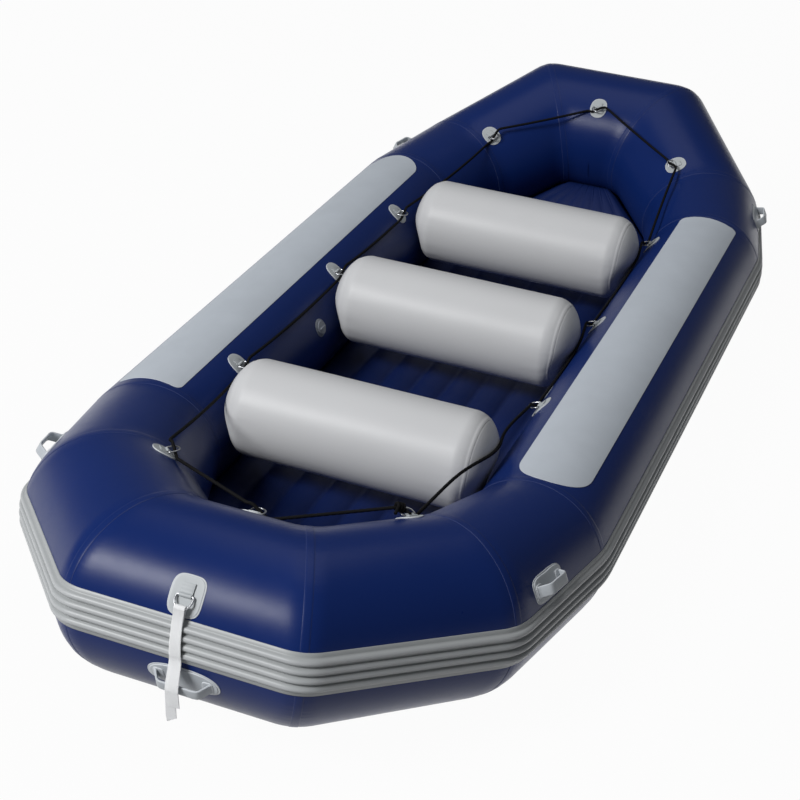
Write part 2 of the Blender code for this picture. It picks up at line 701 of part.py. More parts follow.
# Where the lifeline's rings sit, in the order in which the rope passes them
def life_places():
    """(name, segment, share along it, lean) of each of the lifeline's rings."""
    places = [("bow", BOW, 0.5, LIFE_LEAN_BOW)]
    places.append(("bow_port", BOW_PORT, 1.0 - LIFE_SHOULDER_SHARE, LIFE_LEAN_BOW_SHOULDER))
    for step, y in enumerate(LIFE_SIDE_Y["port"]):
        places.append(("port_%d" % (step + 1), PORT, share_at_y(PORT, y, LIFE_LEAN_PORT), LIFE_LEAN_PORT))
    places.append(("stern_port", STERN_PORT, LIFE_SHOULDER_SHARE, LIFE_LEAN_SHOULDER))
    places.append(("stern", STERN, 0.5, LIFE_LEAN_STERN))
    share = 1.0 - LIFE_STERN_STARBOARD_SHARE
    places.append(("stern_starboard", STERN_STARBOARD, share, LIFE_LEAN_STERN_STARBOARD))
    for step, y in reversed(list(enumerate(LIFE_SIDE_Y["starboard"]))):
        share = share_at_y(STARBOARD, y, LIFE_LEAN_STARBOARD)
        places.append(("starboard_%d" % (step + 1), STARBOARD, share, LIFE_LEAN_STARBOARD))
    places.append(("bow_starboard", BOW_STARBOARD, LIFE_SHOULDER_SHARE, LIFE_LEAN_BOW_SHOULDER))
    return places


def beside_thwarts(point):
    """A point of the rope, kept in the crevice between the side tube and a thwart's end."""
    room = THWART_SHOULDER + ROPE_RADIUS + 6 * SEAT
    for y in THWART_Y:
        spoke = math.hypot(point.y - y, point.z - THWART_HEIGHT) - THWART_RADIUS + THWART_SHOULDER
        if spoke < room:
            limit = thwart_half_length() + math.sqrt(room**2 - max(spoke, 0.0) ** 2) + THWART_CROWN
            return Vector((math.copysign(max(limit, abs(point.x)), point.x), point.y, point.z))
    return point


def onto_side_tube(point, share):
    """A point of a span along a side tube, let down so that the middle of the span lies on the tube."""
    spoke = point - Vector((math.copysign(SIDE_X, point.x), point.y, AXIS_Z))
    turn = 2.0 * math.pi / TUBE_SIDES
    lean = math.atan2(spoke.x, spoke.z)
    skin = AXIS_Z / math.cos(lean - turn * round(lean / turn))
    lift = max(spoke.length - skin - ROPE_RADIUS - GAP, 0.0)
    return point - spoke.normalized() * lift * math.sqrt(math.sin(math.pi * share))


def lifeline():
    crossings = []
    for name, segment, share, lean in life_places():
        place = skin_frame(segment, share, lean)
        radius = skin_radius(segment, share)
        ring_patch("life_patch_" + name, place, radius, LIFE_PATCH_HALF, 2.3, LIFE_WIRE, LIFE_LOOP_HALF)
        d_ring("life_ring_" + name, place, LIFE_WIRE, LIFE_RING_HALF, LIFE_RING_ARM, LIFE_RING_TILT)
        ring = ring_place(place, LIFE_WIRE, LIFE_RING_TILT)
        eye = ring @ Vector((0.0, -LIFE_RING_ARM - 0.25 * LIFE_RING_HALF, 0.0))
        along = ring.to_3x3() @ Vector((-1.0, 0.0, 0.0))
        off = ring.to_3x3() @ Vector((0.0, 0.0, 1.0))
        flank = place.to_3x3() @ Vector((0.0, -1.0, 0.0))
        crossings.append((eye, along, off, flank))
    run = 1.05 * LIFE_RING_HALF
    path = []
    for step, (eye, along, off, flank) in enumerate(crossings):
        path += [eye - along * run * 2.0 + off * ROPE_RISE * 1.1, eye - along * run + off * ROPE_RISE, eye]
        path += [eye + along * run - off * ROPE_RISE, eye + along * run * 2.0 - off * ROPE_RISE * 1.1]
        later, later_along, later_off, later_flank = crossings[(step + 1) % len(crossings)]
        start = path[-1]
        end = later - later_along * run * 2.0 + later_off * ROPE_RISE * 1.1
        sag = ROPE_SAG * ((end - start).length / ROPE_SAG_SPAN) ** 2
        for part in range(1, ROPE_STEPS):
            share = part / ROPE_STEPS
            point = start.lerp(end, share) + (flank + later_flank) * sag * 2 * share * (1 - share)
            if max(abs(eye.y), abs(later.y)) < SIDE_Y:
                point = onto_side_tube(point, share)
            path.append(beside_thwarts(point))
    curve_object("lifeline_rope", [path], ROPE_RADIUS, (BLACK, 0.8), resolution=2)


# Tow fitting
def tow_strap_line():
    """Middle line of the strap, as (distance ahead of the bow tube's axis, height), from the ring down."""
    rim = END_RADIUS + SEAT + STRAKE_BASE + STRAKE_RIB_HEIGHT + 2 * TOW_STRAP_HALF
    line = []
    for lean in (68.0, 76.0, 84.0, 90.0):
        turn = math.radians(lean)
        line.append((rim * math.sin(turn), rim * math.cos(turn)))
    handle = END_RADIUS + HANDLE_RISE + HANDLE_BAR + 3 * TOW_STRAP_HALF
    lean = beside_strake(BOW, 0.5, -BOW_HANDLE_BASE_HALF[1], -BOW_HANDLE_STRAKE_GAP)
    line.append((handle * math.sin(lean) + 0.003, handle * math.cos(lean) + 0.028))
    line.append((handle * math.sin(lean) + 0.005, handle * math.cos(lean)))
    axis = CORNERS[BOW][0].z
    line.append((handle * math.sin(lean) + 0.003, TOW_STRAP_END_Z - axis))
    return line


def tow_strap(ring):
    """Doubled webbing that loops round the ring's bow and hangs over the strake and the handle."""
    axis = CORNERS[BOW][0]
    low = ring @ Vector((0.0, TOW_STRAP_EYE_SHIFT - TOW_RING_ARM - TOW_RING_HALF, 0.0))
    eye = Vector((-(low.y - axis.y), low.z - axis.z))
    line = [Vector(point) for point in tow_strap_line()]
    down = (line[0] - eye).normalized()
    across = Vector((down.y, -down.x))
    outer = []
    rim = TOW_STRAP_EYE + 2 * TOW_STRAP_HALF * 0.8
    for step in range(9):
        turn = math.radians(-125.0 + 250.0 * step / 8)
        outer.append(eye - down * rim * math.cos(turn) + across * rim * math.sin(turn))
    left, right = [], []
    for step, point in enumerate(line):
        ahead = line[min(step + 1, len(line) - 1)] - line[max(step - 1, 0)]
        side = Vector((ahead.y, -ahead.x)).normalized() * TOW_STRAP_HALF
        left.append(point + side)
        right.append(point - side)
    outline = outer + left + right[::-1]
    hole = []
    for step in range(12):
        turn = math.tau * step / 12
        hole.append(eye + Vector((math.cos(turn), math.sin(turn))) * TOW_STRAP_EYE)
    data = bpy.data.curves.new("tow_strap", "CURVE")
    data.dimensions = "2D"
    data.fill_mode = "BOTH"
    data.extrude = TOW_STRAP_HALF_WIDTH
    for path in (outline, hole):
        spline = data.splines.new("POLY")
        spline.points.add(len(path) - 1)
        for point, place in zip(spline.points, path):
            point.co = (place.x, place.y, 0.0, 1.0)
        spline.use_cyclic_u = True
    # Local X points ahead of the bow, local Y up and local Z to starboard.
    turn = Matrix(((0.0, 0.0, -1.0), (-1.0, 0.0, 0.0), (0.0, 1.0, 0.0))).to_4x4()
    middle = Vector((ring.translation.x, axis.y, axis.z))
    add_object("tow_strap", data, (PALE, 0.7), Matrix.Translation(middle) @ turn)


def tow_fitting():
    place = skin_frame(BOW, 0.5, beside_strake(BOW, 0.5, TOW_PATCH_HALF[1], TOW_STRAKE_GAP))
    ring_patch("tow_patch", place, END_RADIUS, TOW_PATCH_HALF, 3.6, TOW_WIRE, TOW_LOOP_HALF)
    d_ring("tow_ring", place, TOW_WIRE, TOW_RING_HALF, TOW_RING_ARM, TOW_RING_TILT)
    tow_strap(ring_place(place, TOW_WIRE, TOW_RING_TILT))


# Carry handles
def handle(name, segment, share, lean, base_half, span_half, power):
    """Moulded base with a raised strap that leaves room for the fingers."""
    place = skin_frame(segment, share, lean)
    radius = skin_radius(segment, share)
    made = patch_on_tube(name, place, radius, base_half, power, PATCH_THICKNESS, (PALE, 0.45))
    foot = span_half + HANDLE_FOOT
    top = HANDLE_RISE
    slope = 0.6 * HANDLE_FOOT
    shoulder = span_half + 0.2 * slope
    under = top - HANDLE_BAR
    outline = [(-foot, 0.0), (-foot, 0.004), (-shoulder, top), (shoulder, top), (foot, 0.004), (foot, 0.0)]
    outline += [(span_half, 0.0), (span_half - slope, under), (slope - span_half, under), (-span_half, 0.0)]
    data = bpy.data.curves.new(name + "_strap", "CURVE")
    data.dimensions = "2D"
    data.fill_mode = "BOTH"
    data.extrude = HANDLE_HALF_WIDTH
    spline = data.splines.new("POLY")
    spline.points.add(len(outline) - 1)
    for point, (x, z) in zip(spline.points, outline):
        point.co = (x, z, 0.0, 1.0)
    spline.use_cyclic_u = True
    stand = place @ Matrix.Translation((0.0, 0.0, SEAT + 0.0005)) @ Matrix.Rotation(math.pi / 2, 4, "X")
    guide = add_object(name + "_guide", data, None, stand, cutter=True)
    bpy.context.view_layer.update()
    mesh = bpy.data.meshes.new_from_object(guide.evaluated_get(bpy.context.evaluated_depsgraph_get()))
    bpy.data.objects.remove(guide, do_unlink=True)
    bm = bmesh.new()
    bm.from_mesh(mesh)
    bmesh.ops.remove_doubles(bm, verts=bm.verts, dist=0.00001)
    bpy.data.meshes.remove(mesh)
    closed = mesh_from(name + "_strap", bm, smooth=False)
    strap = add_object(name + "_strap", closed, None, stand, cutter=True)
    boolean(made, strap, "UNION")


def handles():
    for name, segment, y in (
        ("bow_port_handle", BOW_PORT_SHOULDER, -BOW_CORNER_HANDLE_Y),
        ("stern_port_handle", STERN_PORT_SHOULDER, HANDLE_Y),
        ("stern_starboard_handle", STERN_STARBOARD_SHOULDER, HANDLE_Y),
        ("bow_starboard_handle", BOW_STARBOARD_SHOULDER, -BOW_CORNER_HANDLE_Y),
    ):
        across = HANDLE_BASE_HALF[1]
        lean = beside_strake(segment, share_at_y(segment, y, 0.0), across, HANDLE_STRAKE_GAP)
        share = share_at_y(segment, y, lean)
        handle(name, segment, share, lean, HANDLE_BASE_HALF, HANDLE_SPAN_HALF, 4.0)
    middle = 0.5 + BOW_HANDLE_X / (2 * END_X)
    lean = beside_strake(BOW, middle, -BOW_HANDLE_BASE_HALF[1], -BOW_HANDLE_STRAKE_GAP)
    handle("bow_handle", BOW, middle, lean, BOW_HANDLE_BASE_HALF, BOW_HANDLE_SPAN_HALF, 2.4)


def valves(tube, deck, seats):
    for side, segment in (("port", PORT), ("starboard", STARBOARD)):
        lean = TUBE_VALVE_LEAN[side]
        place = skin_frame(segment, share_at_y(segment, TUBE_VALVE_Y, lean), lean)
        valve(side + "_valve_body", side + "_valve_cap", place, tube[side + "_side_tube"])
    for number, seat in enumerate(seats):
        place = Matrix.Translation((THWART_VALVE_X, THWART_Y[number], THWART_HEIGHT - THWART_RADIUS))
        valve("thwart_%d_valve" % (number + 1), None, place @ Matrix.Rotation(math.pi, 4, "X"), seat)
    half = FLOOR_THICKNESS / 2
    flat = along_line(plan_line(floor_core(), half * math.cos(math.pi / 3)), THWART_Y[-1])[0]
    height = along_line(plan_line(floor_core(), half), THWART_Y[-1])[1] + half
    crest = Vector((flat / FLOOR_CHANNELS, THWART_Y[-1], height))
    valve("floor_valve_body", "floor_valve_cap", Matrix.Translation(crest), deck)


def centre_over_origin():
    """Moves the whole raft along Y, so that the middle of its length is at Y = 0."""
    bpy.context.view_layer.update()
    reach = []
    for thing in bpy.data.collections["Inflatable raft"].objects:
        reach += [(thing.matrix_world @ Vector(corner)).y for corner in thing.bound_box]
    for thing in bpy.data.objects:
        thing.location.y -= (min(reach) + max(reach)) / 2


def main():
    clear_scene()
    tube = tubes()
    baffle("bow_baffle", BOW, 1)
    baffle("stern_baffle", STERN, -1)
    rub_strake()
    wear_patch("port_wear_patch", PORT, "port")
    wear_patch("starboard_wear_patch", STARBOARD, "starboard")
    deck = floor()
    floor_flange()
    seats = [thwart("thwart_%d" % (number + 1), y) for number, y in enumerate(THWART_Y)]
    valves(tube, deck, seats)
    lifeline()
    tow_fitting()
    handles()
    centre_over_origin()


main()
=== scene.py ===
"""Inflatable river raft, dressed: air tubes, floor, thwarts, strake, wear sheets, valves, lifeline,
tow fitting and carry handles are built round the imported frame. Metres, +Z up, bow at -Y, port at +X."""

import functools
import json
import math

import bmesh
import bpy
from mathutils import Matrix, Vector, noise
from mathutils.bvhtree import BVHTree

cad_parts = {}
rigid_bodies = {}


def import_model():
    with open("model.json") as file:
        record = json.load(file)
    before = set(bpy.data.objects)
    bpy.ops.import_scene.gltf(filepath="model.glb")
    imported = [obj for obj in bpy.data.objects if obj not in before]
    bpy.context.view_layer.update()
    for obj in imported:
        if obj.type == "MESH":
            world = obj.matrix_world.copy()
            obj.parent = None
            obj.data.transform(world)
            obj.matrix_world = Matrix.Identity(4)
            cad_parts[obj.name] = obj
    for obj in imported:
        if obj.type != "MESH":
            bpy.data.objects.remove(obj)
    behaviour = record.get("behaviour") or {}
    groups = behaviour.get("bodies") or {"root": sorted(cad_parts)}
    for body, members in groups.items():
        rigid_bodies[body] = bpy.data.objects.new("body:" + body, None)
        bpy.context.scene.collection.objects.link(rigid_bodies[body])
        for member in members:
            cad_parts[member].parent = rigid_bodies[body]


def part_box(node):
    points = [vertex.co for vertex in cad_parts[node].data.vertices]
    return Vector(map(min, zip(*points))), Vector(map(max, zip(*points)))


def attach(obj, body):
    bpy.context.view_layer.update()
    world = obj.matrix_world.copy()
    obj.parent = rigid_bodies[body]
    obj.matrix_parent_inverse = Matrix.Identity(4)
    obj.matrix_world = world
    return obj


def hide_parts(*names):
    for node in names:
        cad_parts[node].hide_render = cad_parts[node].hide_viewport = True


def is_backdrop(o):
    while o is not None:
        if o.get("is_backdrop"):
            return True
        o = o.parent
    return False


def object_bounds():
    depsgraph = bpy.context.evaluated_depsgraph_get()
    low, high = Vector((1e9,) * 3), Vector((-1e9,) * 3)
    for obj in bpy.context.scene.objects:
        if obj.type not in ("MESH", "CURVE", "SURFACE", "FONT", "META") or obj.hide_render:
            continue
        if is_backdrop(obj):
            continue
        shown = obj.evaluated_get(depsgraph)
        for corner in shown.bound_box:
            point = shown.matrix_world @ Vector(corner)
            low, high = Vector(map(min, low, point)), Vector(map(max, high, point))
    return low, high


bl_info = {
    "name": "Inflatable river raft",
    "version": (1, 0, 0),
    "blender": (4, 5, 0),
    "location": "View3D > Sidebar > Raft",
    "description": "Builds an inflatable river raft with its tubes, floor, thwarts, lifeline and fittings",
    "category": "Add Mesh",
}

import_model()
CAD_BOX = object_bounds()

# Tube ring: axis corners on the port side, mirrored to starboard
THWART_Y = (-0.856, -0.045, 0.689)
LOW_CORNER, HIGH_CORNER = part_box("thwart_2")
SHIFT_Y = (LOW_CORNER.y + HIGH_CORNER.y) / 2 - THWART_Y[1]
SIDE = (0.596, 1.023, 0.208, math.radians(86.0))  # x, y, radius and the strake's lean
SHOULDER = (0.498, 1.403, 0.223, math.radians(89.0))
BOW_SHOULDER = (0.500, 1.418, 0.238, math.radians(85.8))
END = (0.215, 1.740, 0.240, math.radians(79.5))
BOW_RISES, STERN_RISES = (0.093, 0.037, 0.0), (0.0, 0.018, 0.175)  # of the corners, from the bow aft
FLAT_SHARE = math.cos(math.pi / 32)  # the frame's tubes have 32 flat sides
AXIS_Z = SIDE[2] * FLAT_SHARE
UP = Vector((0.0, 0.0, 1.0))

# Fittings, as on the frame
SEAT = 0.0006  # how far a fitting's underside is off the skin
SINK = 0.0004  # how far a dressed underside sinks into what carries it
PLAY = 0.0003  # room between two pieces that bear on each other
FABRIC = 0.0012  # thickness of the tubes' fabric
BAFFLE_DOME, BAFFLE_LIP = 0.055, 0.022
STRAKE_RIBS, STRAKE_PITCH, STRAKE_RISE, STRAKE_BASE, STRAKE_FLANGE = 4, 0.0225, 0.0085, 0.0035, 0.0115
WEAR_Y, WEAR_HALF, WEAR_CORNER, WEAR_THICK = (-0.992, 1.0), 0.1080, 0.022, 0.0014
WEAR_LEAN = {"port": math.radians(1.6), "starboard": math.radians(8.2)}
FLOOR_THICK, FLOOR_UNDER, FLOOR_CHANNELS, FLOOR_VALLEY = 0.100, 0.004, 8, 0.014
FLOOR_EDGE = 60  # degrees that the floor's round edge turns each way
FLANGE_LEAN, FLANGE_THICK, FLANGE_TURN = math.radians(156.0), 0.0016, math.radians(45.0)
THWART_Z, THWART_RADIUS, THWART_SHOULDER, THWART_CROWN = 0.324, 0.150, 0.050, 0.008
VALVE_Y, THWART_VALVE_X = -0.235, 0.20
VALVE_LEAN = {"port": math.radians(-80.0), "starboard": math.radians(-68.0)}
LIFE_WIRE, LIFE_HALF, LIFE_ARM, LIFE_TILT = 0.00225, 0.0190, 0.014, math.radians(38.0)
LIFE_LEAN = {"starboard": -40.5, "port": -54.0, "bow_shoulder": -34.0, "stern_port": -30.0, "bow": -47.0,
             "stern": -43.0, "stern_starboard": -36.0}
LIFE_Y = {"starboard": (-0.716, 0.020, 0.583), "port": (-0.471, 0.133, 0.850)}
LIFE_SHARE, STERN_STARBOARD_SHARE, LIFE_HALF_PAD = 0.17, 0.13, (0.033, 0.041)
ROPE_RADIUS, ROPE_RISE, ROPE_SAG, ROPE_SPAN, ROPE_BRAID = 0.0045, 0.0125, 0.006, 0.55, 0.0006
TOW_HALF, TOW_GAP, TOW_WIRE, TOW_RING_HALF, TOW_ARM = (0.045, 0.052), 0.0025, 0.0027, 0.0230, 0.012
TOW_TILT, STRAP_HALF_WIDTH, STRAP_HALF = math.radians(14.0), 0.013, 0.0017
STRAP_EYE, STRAP_END_Z = 0.0062, 0.135
PATCH_THICK, LOOP_THICK, LIFE_LOOP, TOW_LOOP = 0.0022, 0.0018, 0.0125, 0.0170
HANDLE_HALF, HANDLE_SPAN, HANDLE_FOOT, HANDLE_RISE, HANDLE_BAR = (0.076, 0.037), 0.042, 0.020, 0.036, 0.006
HANDLE_WIDE, HANDLE_Y, BOW_CORNER_HANDLE_Y, HANDLE_GAP = 0.015, 1.330, 1.345, 0.0070
BOW_HANDLE_HALF, BOW_HANDLE_SPAN, BOW_HANDLE_GAP, BOW_HANDLE_X = (0.098, 0.040), 0.056, 0.0180, 0.010


class RaftSizes(bpy.types.PropertyGroup):
    """Sizes of the dressing that a user may change."""

    mitre_rounding: bpy.props.FloatProperty(
        name="Mitre rounding", description="How far from a mitre the tube starts to round", default=0.055,
        min=0.005, max=0.08, unit="LENGTH")
    tape_width: bpy.props.FloatProperty(
        name="Seam tape width", description="Width of the tape over each mitre", default=0.024,
        unit="LENGTH")
    tape_height: bpy.props.FloatProperty(
        name="Seam tape height", description="How far the tape stands off the tube", default=0.0007,
        unit="LENGTH")
    pucker: bpy.props.FloatProperty(
        name="Pucker depth", description="Depth of the fabric's puckers beside a seam", default=0.0006,
        unit="LENGTH")
    tube_sides: bpy.props.IntProperty(
        name="Tube sides", description="Faces round each air tube", default=96, min=24, max=160)
    rope_lay: bpy.props.FloatProperty(
        name="Rope braid pitch", description="Length of one turn of the rope's braid", default=0.018,
        unit="LENGTH")
    stitch_pitch: bpy.props.FloatProperty(
        name="Stitch pitch", description="Distance from stitch to stitch", default=0.0036, unit="LENGTH")
    weave_pitch: bpy.props.FloatProperty(
        name="Weave pitch", description="Thread spacing that shows through the coating", default=0.0011,
        unit="LENGTH")


def colour(name, description, value):
    return bpy.props.FloatVectorProperty(
        name=name, description=description, default=value, size=3, min=0.0, max=1.0, subtype="COLOR")


class RaftColours(bpy.types.PropertyGroup):
    """Colours of the finishes, in linear light."""

    tube: colour("Tubes", "Coated fabric of the air tubes", (0.0048, 0.0185, 0.112))
    floor: colour("Floor", "Coated fabric of the floor", (0.0040, 0.0135, 0.080))
    thwart: colour("Thwarts", "Coated fabric of the thwarts", (0.55, 0.555, 0.565))
    wear: colour("Wear sheets", "Sheets on the side tubes", (0.47, 0.51, 0.56))
    strake: colour("Strake", "Extruded rubber of the strake", (0.345, 0.36, 0.365))
    patch: colour("Ring patches", "Rubber sheet under the rings", (0.41, 0.435, 0.45))
    handle: colour("Handles", "Moulded carry handles", (0.46, 0.49, 0.52))
    webbing: colour("Webbing", "Tow strap", (0.84, 0.85, 0.86))
    rope: colour("Rope", "Braided lifeline", (0.0035, 0.0035, 0.004))
    steel: colour("Rings", "Drawn stainless wire", (0.50, 0.51, 0.53))
    valve: colour("Valves", "Moulded valves and caps", (0.24, 0.26, 0.30))


def sizes():
    return bpy.context.scene.raft_sizes


def colours():
    return bpy.context.scene.raft_colours


# The surface of the tubes
def ring_corners():
    """(place, radius, strake lean) of each axis corner, anticlockwise from the bow's starboard end."""
    port = [(kind, -1, rise) for kind, rise in zip((END, BOW_SHOULDER, SIDE), BOW_RISES)]
    port += [(kind, 1, rise) for kind, rise in zip((SIDE, SHOULDER, END), STERN_RISES)]
    corners = []
    for sign, run in ((1, port), (-1, port[::-1])):
        for (x, y, radius, lean), stern, rise in run:
            corners.append((Vector((sign * x, stern * y + SHIFT_Y, AXIS_Z + rise)), radius, lean))
    return corners[-1:] + corners[:-1]


CORNERS = ring_corners()
BOW, BOW_PORT, BOW_PORT_SHOULDER, PORT, STERN_PORT_SHOULDER, STERN_PORT = range(6)
STERN, STERN_STARBOARD, STERN_STARBOARD_SHOULDER = range(6, 9)
STARBOARD, BOW_STARBOARD_SHOULDER, BOW_STARBOARD = range(9, 12)


@functools.lru_cache(maxsize=200000)
def mitre_point(index, lean, radius):
    """A point where two tubes meet in a mitre, at lean from the top: outboard is positive."""
    here = CORNERS[index % 12][0]
    ahead = (CORNERS[(index + 1) % 12][0] - here).normalized()
    behind = (here - CORNERS[(index - 1) % 12][0]).normalized()
    normal = (ahead + behind).normalized()
    point = here.copy()
    for axis in (ahead, behind):
        up = (UP - axis * UP.dot(axis)).normalized()
        spoke = up * radius * math.cos(lean) + axis.cross(up) * radius * math.sin(lean)
        point += (spoke - axis * spoke.dot(normal) / axis.dot(normal)) / 2
    return point


def mitre_on(index, lean, lift):
    """The same, lifted off the skin. The lean is one number, or a function of the corner's index."""
    index %= 12
    angle = lean(index) if callable(lean) else lean
    return mitre_point(index, angle, CORNERS[index][1] + lift)


def line_length(segment, lean, lift=0.0):
    return (mitre_on(segment + 1, lean, lift) - mitre_on(segment, lean, lift)).length


def corner_point(corner, back, ahead, reach, share):
    """A point of a rounded corner, whose curve starts and ends at reach along the two directions from it."""
    return corner + back * reach * (1 - share) ** 2 + ahead * reach * share**2


def corner_arc(corner, before, after, reach, steps=6):
    back, ahead = (before - corner).normalized(), (after - corner).normalized()
    return [corner_point(corner, back, ahead, reach, step / steps) for step in range(steps + 1)]


def on_line(segment, x, lean, lift=0.0):
    """The point x along a tube from its first mitre, with the mitres rounded. It may lie past the ends."""
    first, last = mitre_on(segment, lean, lift), mitre_on(segment + 1, lean, lift)
    length = (last - first).length
    if x < 0.0:
        return on_line(segment - 1, line_length(segment - 1, lean, lift) + x, lean, lift)
    if x > length:
        return on_line(segment + 1, x - length, lean, lift)
    ahead = (last - first) / length
    reach = sizes().mitre_rounding
    if x < reach:
        before = (mitre_on(segment - 1, lean, lift) - first).normalized()
        return corner_point(first, before, ahead, reach, (x + reach) / (2 * reach))
    if length - x < reach:
        beyond = (mitre_on(segment + 2, lean, lift) - last).normalized()
        return corner_point(last, -ahead, beyond, reach, (reach - length + x) / (2 * reach))
    return first + ahead * x


def skin_point(segment, share, lean, lift=0.0):
    return mitre_on(segment, lean, lift).lerp(mitre_on(segment + 1, lean, lift), share)


def share_at_y(segment, y, lean):
    first, last = skin_point(segment, 0.0, lean).y, skin_point(segment, 1.0, lean).y
    return (y + SHIFT_Y - first) / (last - first)


def skin_radius(segment, share):
    first, last = CORNERS[segment % 12][1], CORNERS[(segment + 1) % 12][1]
    return first + (last - first) * share


def beside_strake(segment, share, half, gap):
    """Lean of a patch whose edge clears the strake by the gap; both are negative below the strake."""
    first, last = CORNERS[segment % 12][2], CORNERS[(segment + 1) % 12][2]
    strake = STRAKE_RIBS * STRAKE_PITCH / 2 + STRAKE_FLANGE
    arc = math.copysign(strake, gap) + half + gap
    return first + (last - first) * share - arc / skin_radius(segment, share)


class Seat:
    """A place on a tube. Local X runs along the tube, Z out of it and -Y down its flank."""

    def __init__(self, segment, share, lean):
        self.segment, self.lean = segment, lean
        self.radius = skin_radius(segment, share)
        step = 0.001
        self.middle = skin_point(segment, share, lean)
        ahead = skin_point(segment, share + step, lean) - skin_point(segment, share - step, lean)
        self.ahead = ahead.normalized()
        around = skin_point(segment, share, lean + step) - skin_point(segment, share, lean - step)
        out = around.cross(self.ahead).normalized()
        side = out.cross(self.ahead)
        self.turned = -1.0 if lean < 0.0 else 1.0
        axes = Matrix((self.ahead * self.turned, side * self.turned, out)).transposed()
        self.place = Matrix.Translation(self.middle) @ axes.to_4x4()

    def at(self, x, y, lift):
        """A point of the tube's skin at the seat's local x and y, lifted off it."""
        lean = self.lean - self.turned * y / self.radius
        first, last = mitre_on(self.segment, lean, lift), mitre_on(self.segment + 1, lean, lift)
        ahead = (last - first).normalized()
        run = (self.middle + self.ahead * x * self.turned - first).dot(self.ahead) / ahead.dot(self.ahead)
        return on_line(self.segment, run, lean, lift)


# Mesh helpers
def loft(bm, rings, wrap=False, uv=None, layer=None, values=None):
    """Joins closed sections of equal count with faces, capped at the ends or wrapped from last to first."""
    weave = bm.loops.layers.uv.get("weave") or bm.loops.layers.uv.new("weave")
    made = [[bm.verts.new(point) for point in ring] for ring in rings]
    if layer is not None:
        for ring, row in zip(made, values):
            for vert, value in zip(ring, row):
                vert[layer] = value
    count = len(rings[0])
    for row, (here, ahead) in enumerate(zip(made, made[1:] + (made[:1] if wrap else []))):
        for step in range(count):
            after = (step + 1) % count
            face = bm.faces.new((here[step], here[after], ahead[after], ahead[step]))
            face.smooth = True
            if uv:
                corners = ((row, step), (row, step + 1), (row + 1, step + 1), (row + 1, step))
                for corner, (line, column) in zip(face.loops, corners):
                    corner[weave].uv = uv[line][column]
    if wrap:
        return made
    for ring in (made[0], made[-1]):
        middle = bm.verts.new(sum((vert.co for vert in ring), Vector()) / count)
        if layer is not None:
            middle[layer] = ring[0][layer]
        for step in range(count):
            face = bm.faces.new((ring[step], ring[(step + 1) % count], middle))
            face.smooth = True
    return made


def new_piece(name, bm, finishes, body="hull", replaces=(), sharp=40.0):
    """Turns the faces outwards, makes the object, gives it its finish and lets it ride on its body."""
    bmesh.ops.recalc_face_normals(bm, faces=bm.faces)
    if bm.calc_volume(signed=True) < 0.0:
        bmesh.ops.reverse_faces(bm, faces=bm.faces)
    mesh = bpy.data.meshes.new(name)
    bm.to_mesh(mesh)
    bm.free()
    obj = bpy.data.objects.new(name, mesh)
    bpy.context.scene.collection.objects.link(obj)
    for finish in finishes:
        mesh.materials.append(finish)
    mesh.set_sharp_from_angle(angle=math.radians(sharp))
    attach(obj, body)
    if replaces:
        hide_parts(*replaces)
    return obj


def superellipse(half, power, count):
    """Points of the outline, anticlockwise."""
    outline = []
    for step in range(count):
        turn = math.tau * step / count
        x, y = abs(math.cos(turn)) / half[0], abs(math.sin(turn)) / half[1]
        reach = (x**power + y**power) ** (-1 / power)
        outline.append(Vector((reach * math.cos(turn), reach * math.sin(turn))))
    return outline


def patch_levels(thick, rim=0.0, lip=0.0):
    """(share of the outline, inset, lift, rim mask), from underneath, round the edge and to the middle."""
    levels = [(0.4, 0.0, -SINK, 0.0), (0.8, 0.0, -SINK, 0.0), (1.0, 0.0, -SINK, 0.6)]
    if lip:
        levels += [(1.0, 0.0, lip * 0.6, 1.0), (1.0, 0.0005, lip, 1.0), (1.0, rim - 0.0008, lip, 0.5)]
        levels += [(1.0, rim, lip + (thick - lip) * 0.5, 0.8)]
    else:
        levels += [(1.0, 0.0, thick * 0.5, 1.0)]
    levels += [(1.0, rim + 0.0004, thick * 0.93, 1.0), (1.0, rim + 0.0012, thick, 0.7)]
    levels += [(1.0, rim + 0.003, thick, 0.2), (0.8, rim, thick, 0.0), (0.55, 0.0, thick, 0.0)]
    levels += [(0.3, 0.0, thick, 0.0), (0.1, 0.0, thick, 0.0)]
    return levels


def lay_patch(bm, seat, outline, levels, rim, centre=(0.0, 0.0)):
    """A sheet with that outline, bent to the tube under it."""
    rings, uvs, masks = [], [], []
    for share, inset, lift, mask in levels:
        points = [point * share * (1.0 - inset / point.length) for point in outline]
        rings.append([seat.at(point.x + centre[0], point.y + centre[1], lift) for point in points])
        uvs.append([tuple(point) for point in points + points[:1]])
        masks.append([mask] * len(points))
    loft(bm, rings, uv=uvs, layer=rim, values=masks)


def rounded_section(half_across, half_through, corner, steps=3):
    """Points of a rounded rectangle, as (across, through)."""
    points = []
    for quarter, (sx, sy) in enumerate(((1, 1), (-1, 1), (-1, -1), (1, -1))):
        for step in range(steps + 1):
            turn = math.pi / 2 * (quarter + step / steps)
            x = sx * (half_across - corner) + corner * math.cos(turn)
            points.append((x, sy * (half_through - corner) + corner * math.sin(turn)))
    return points


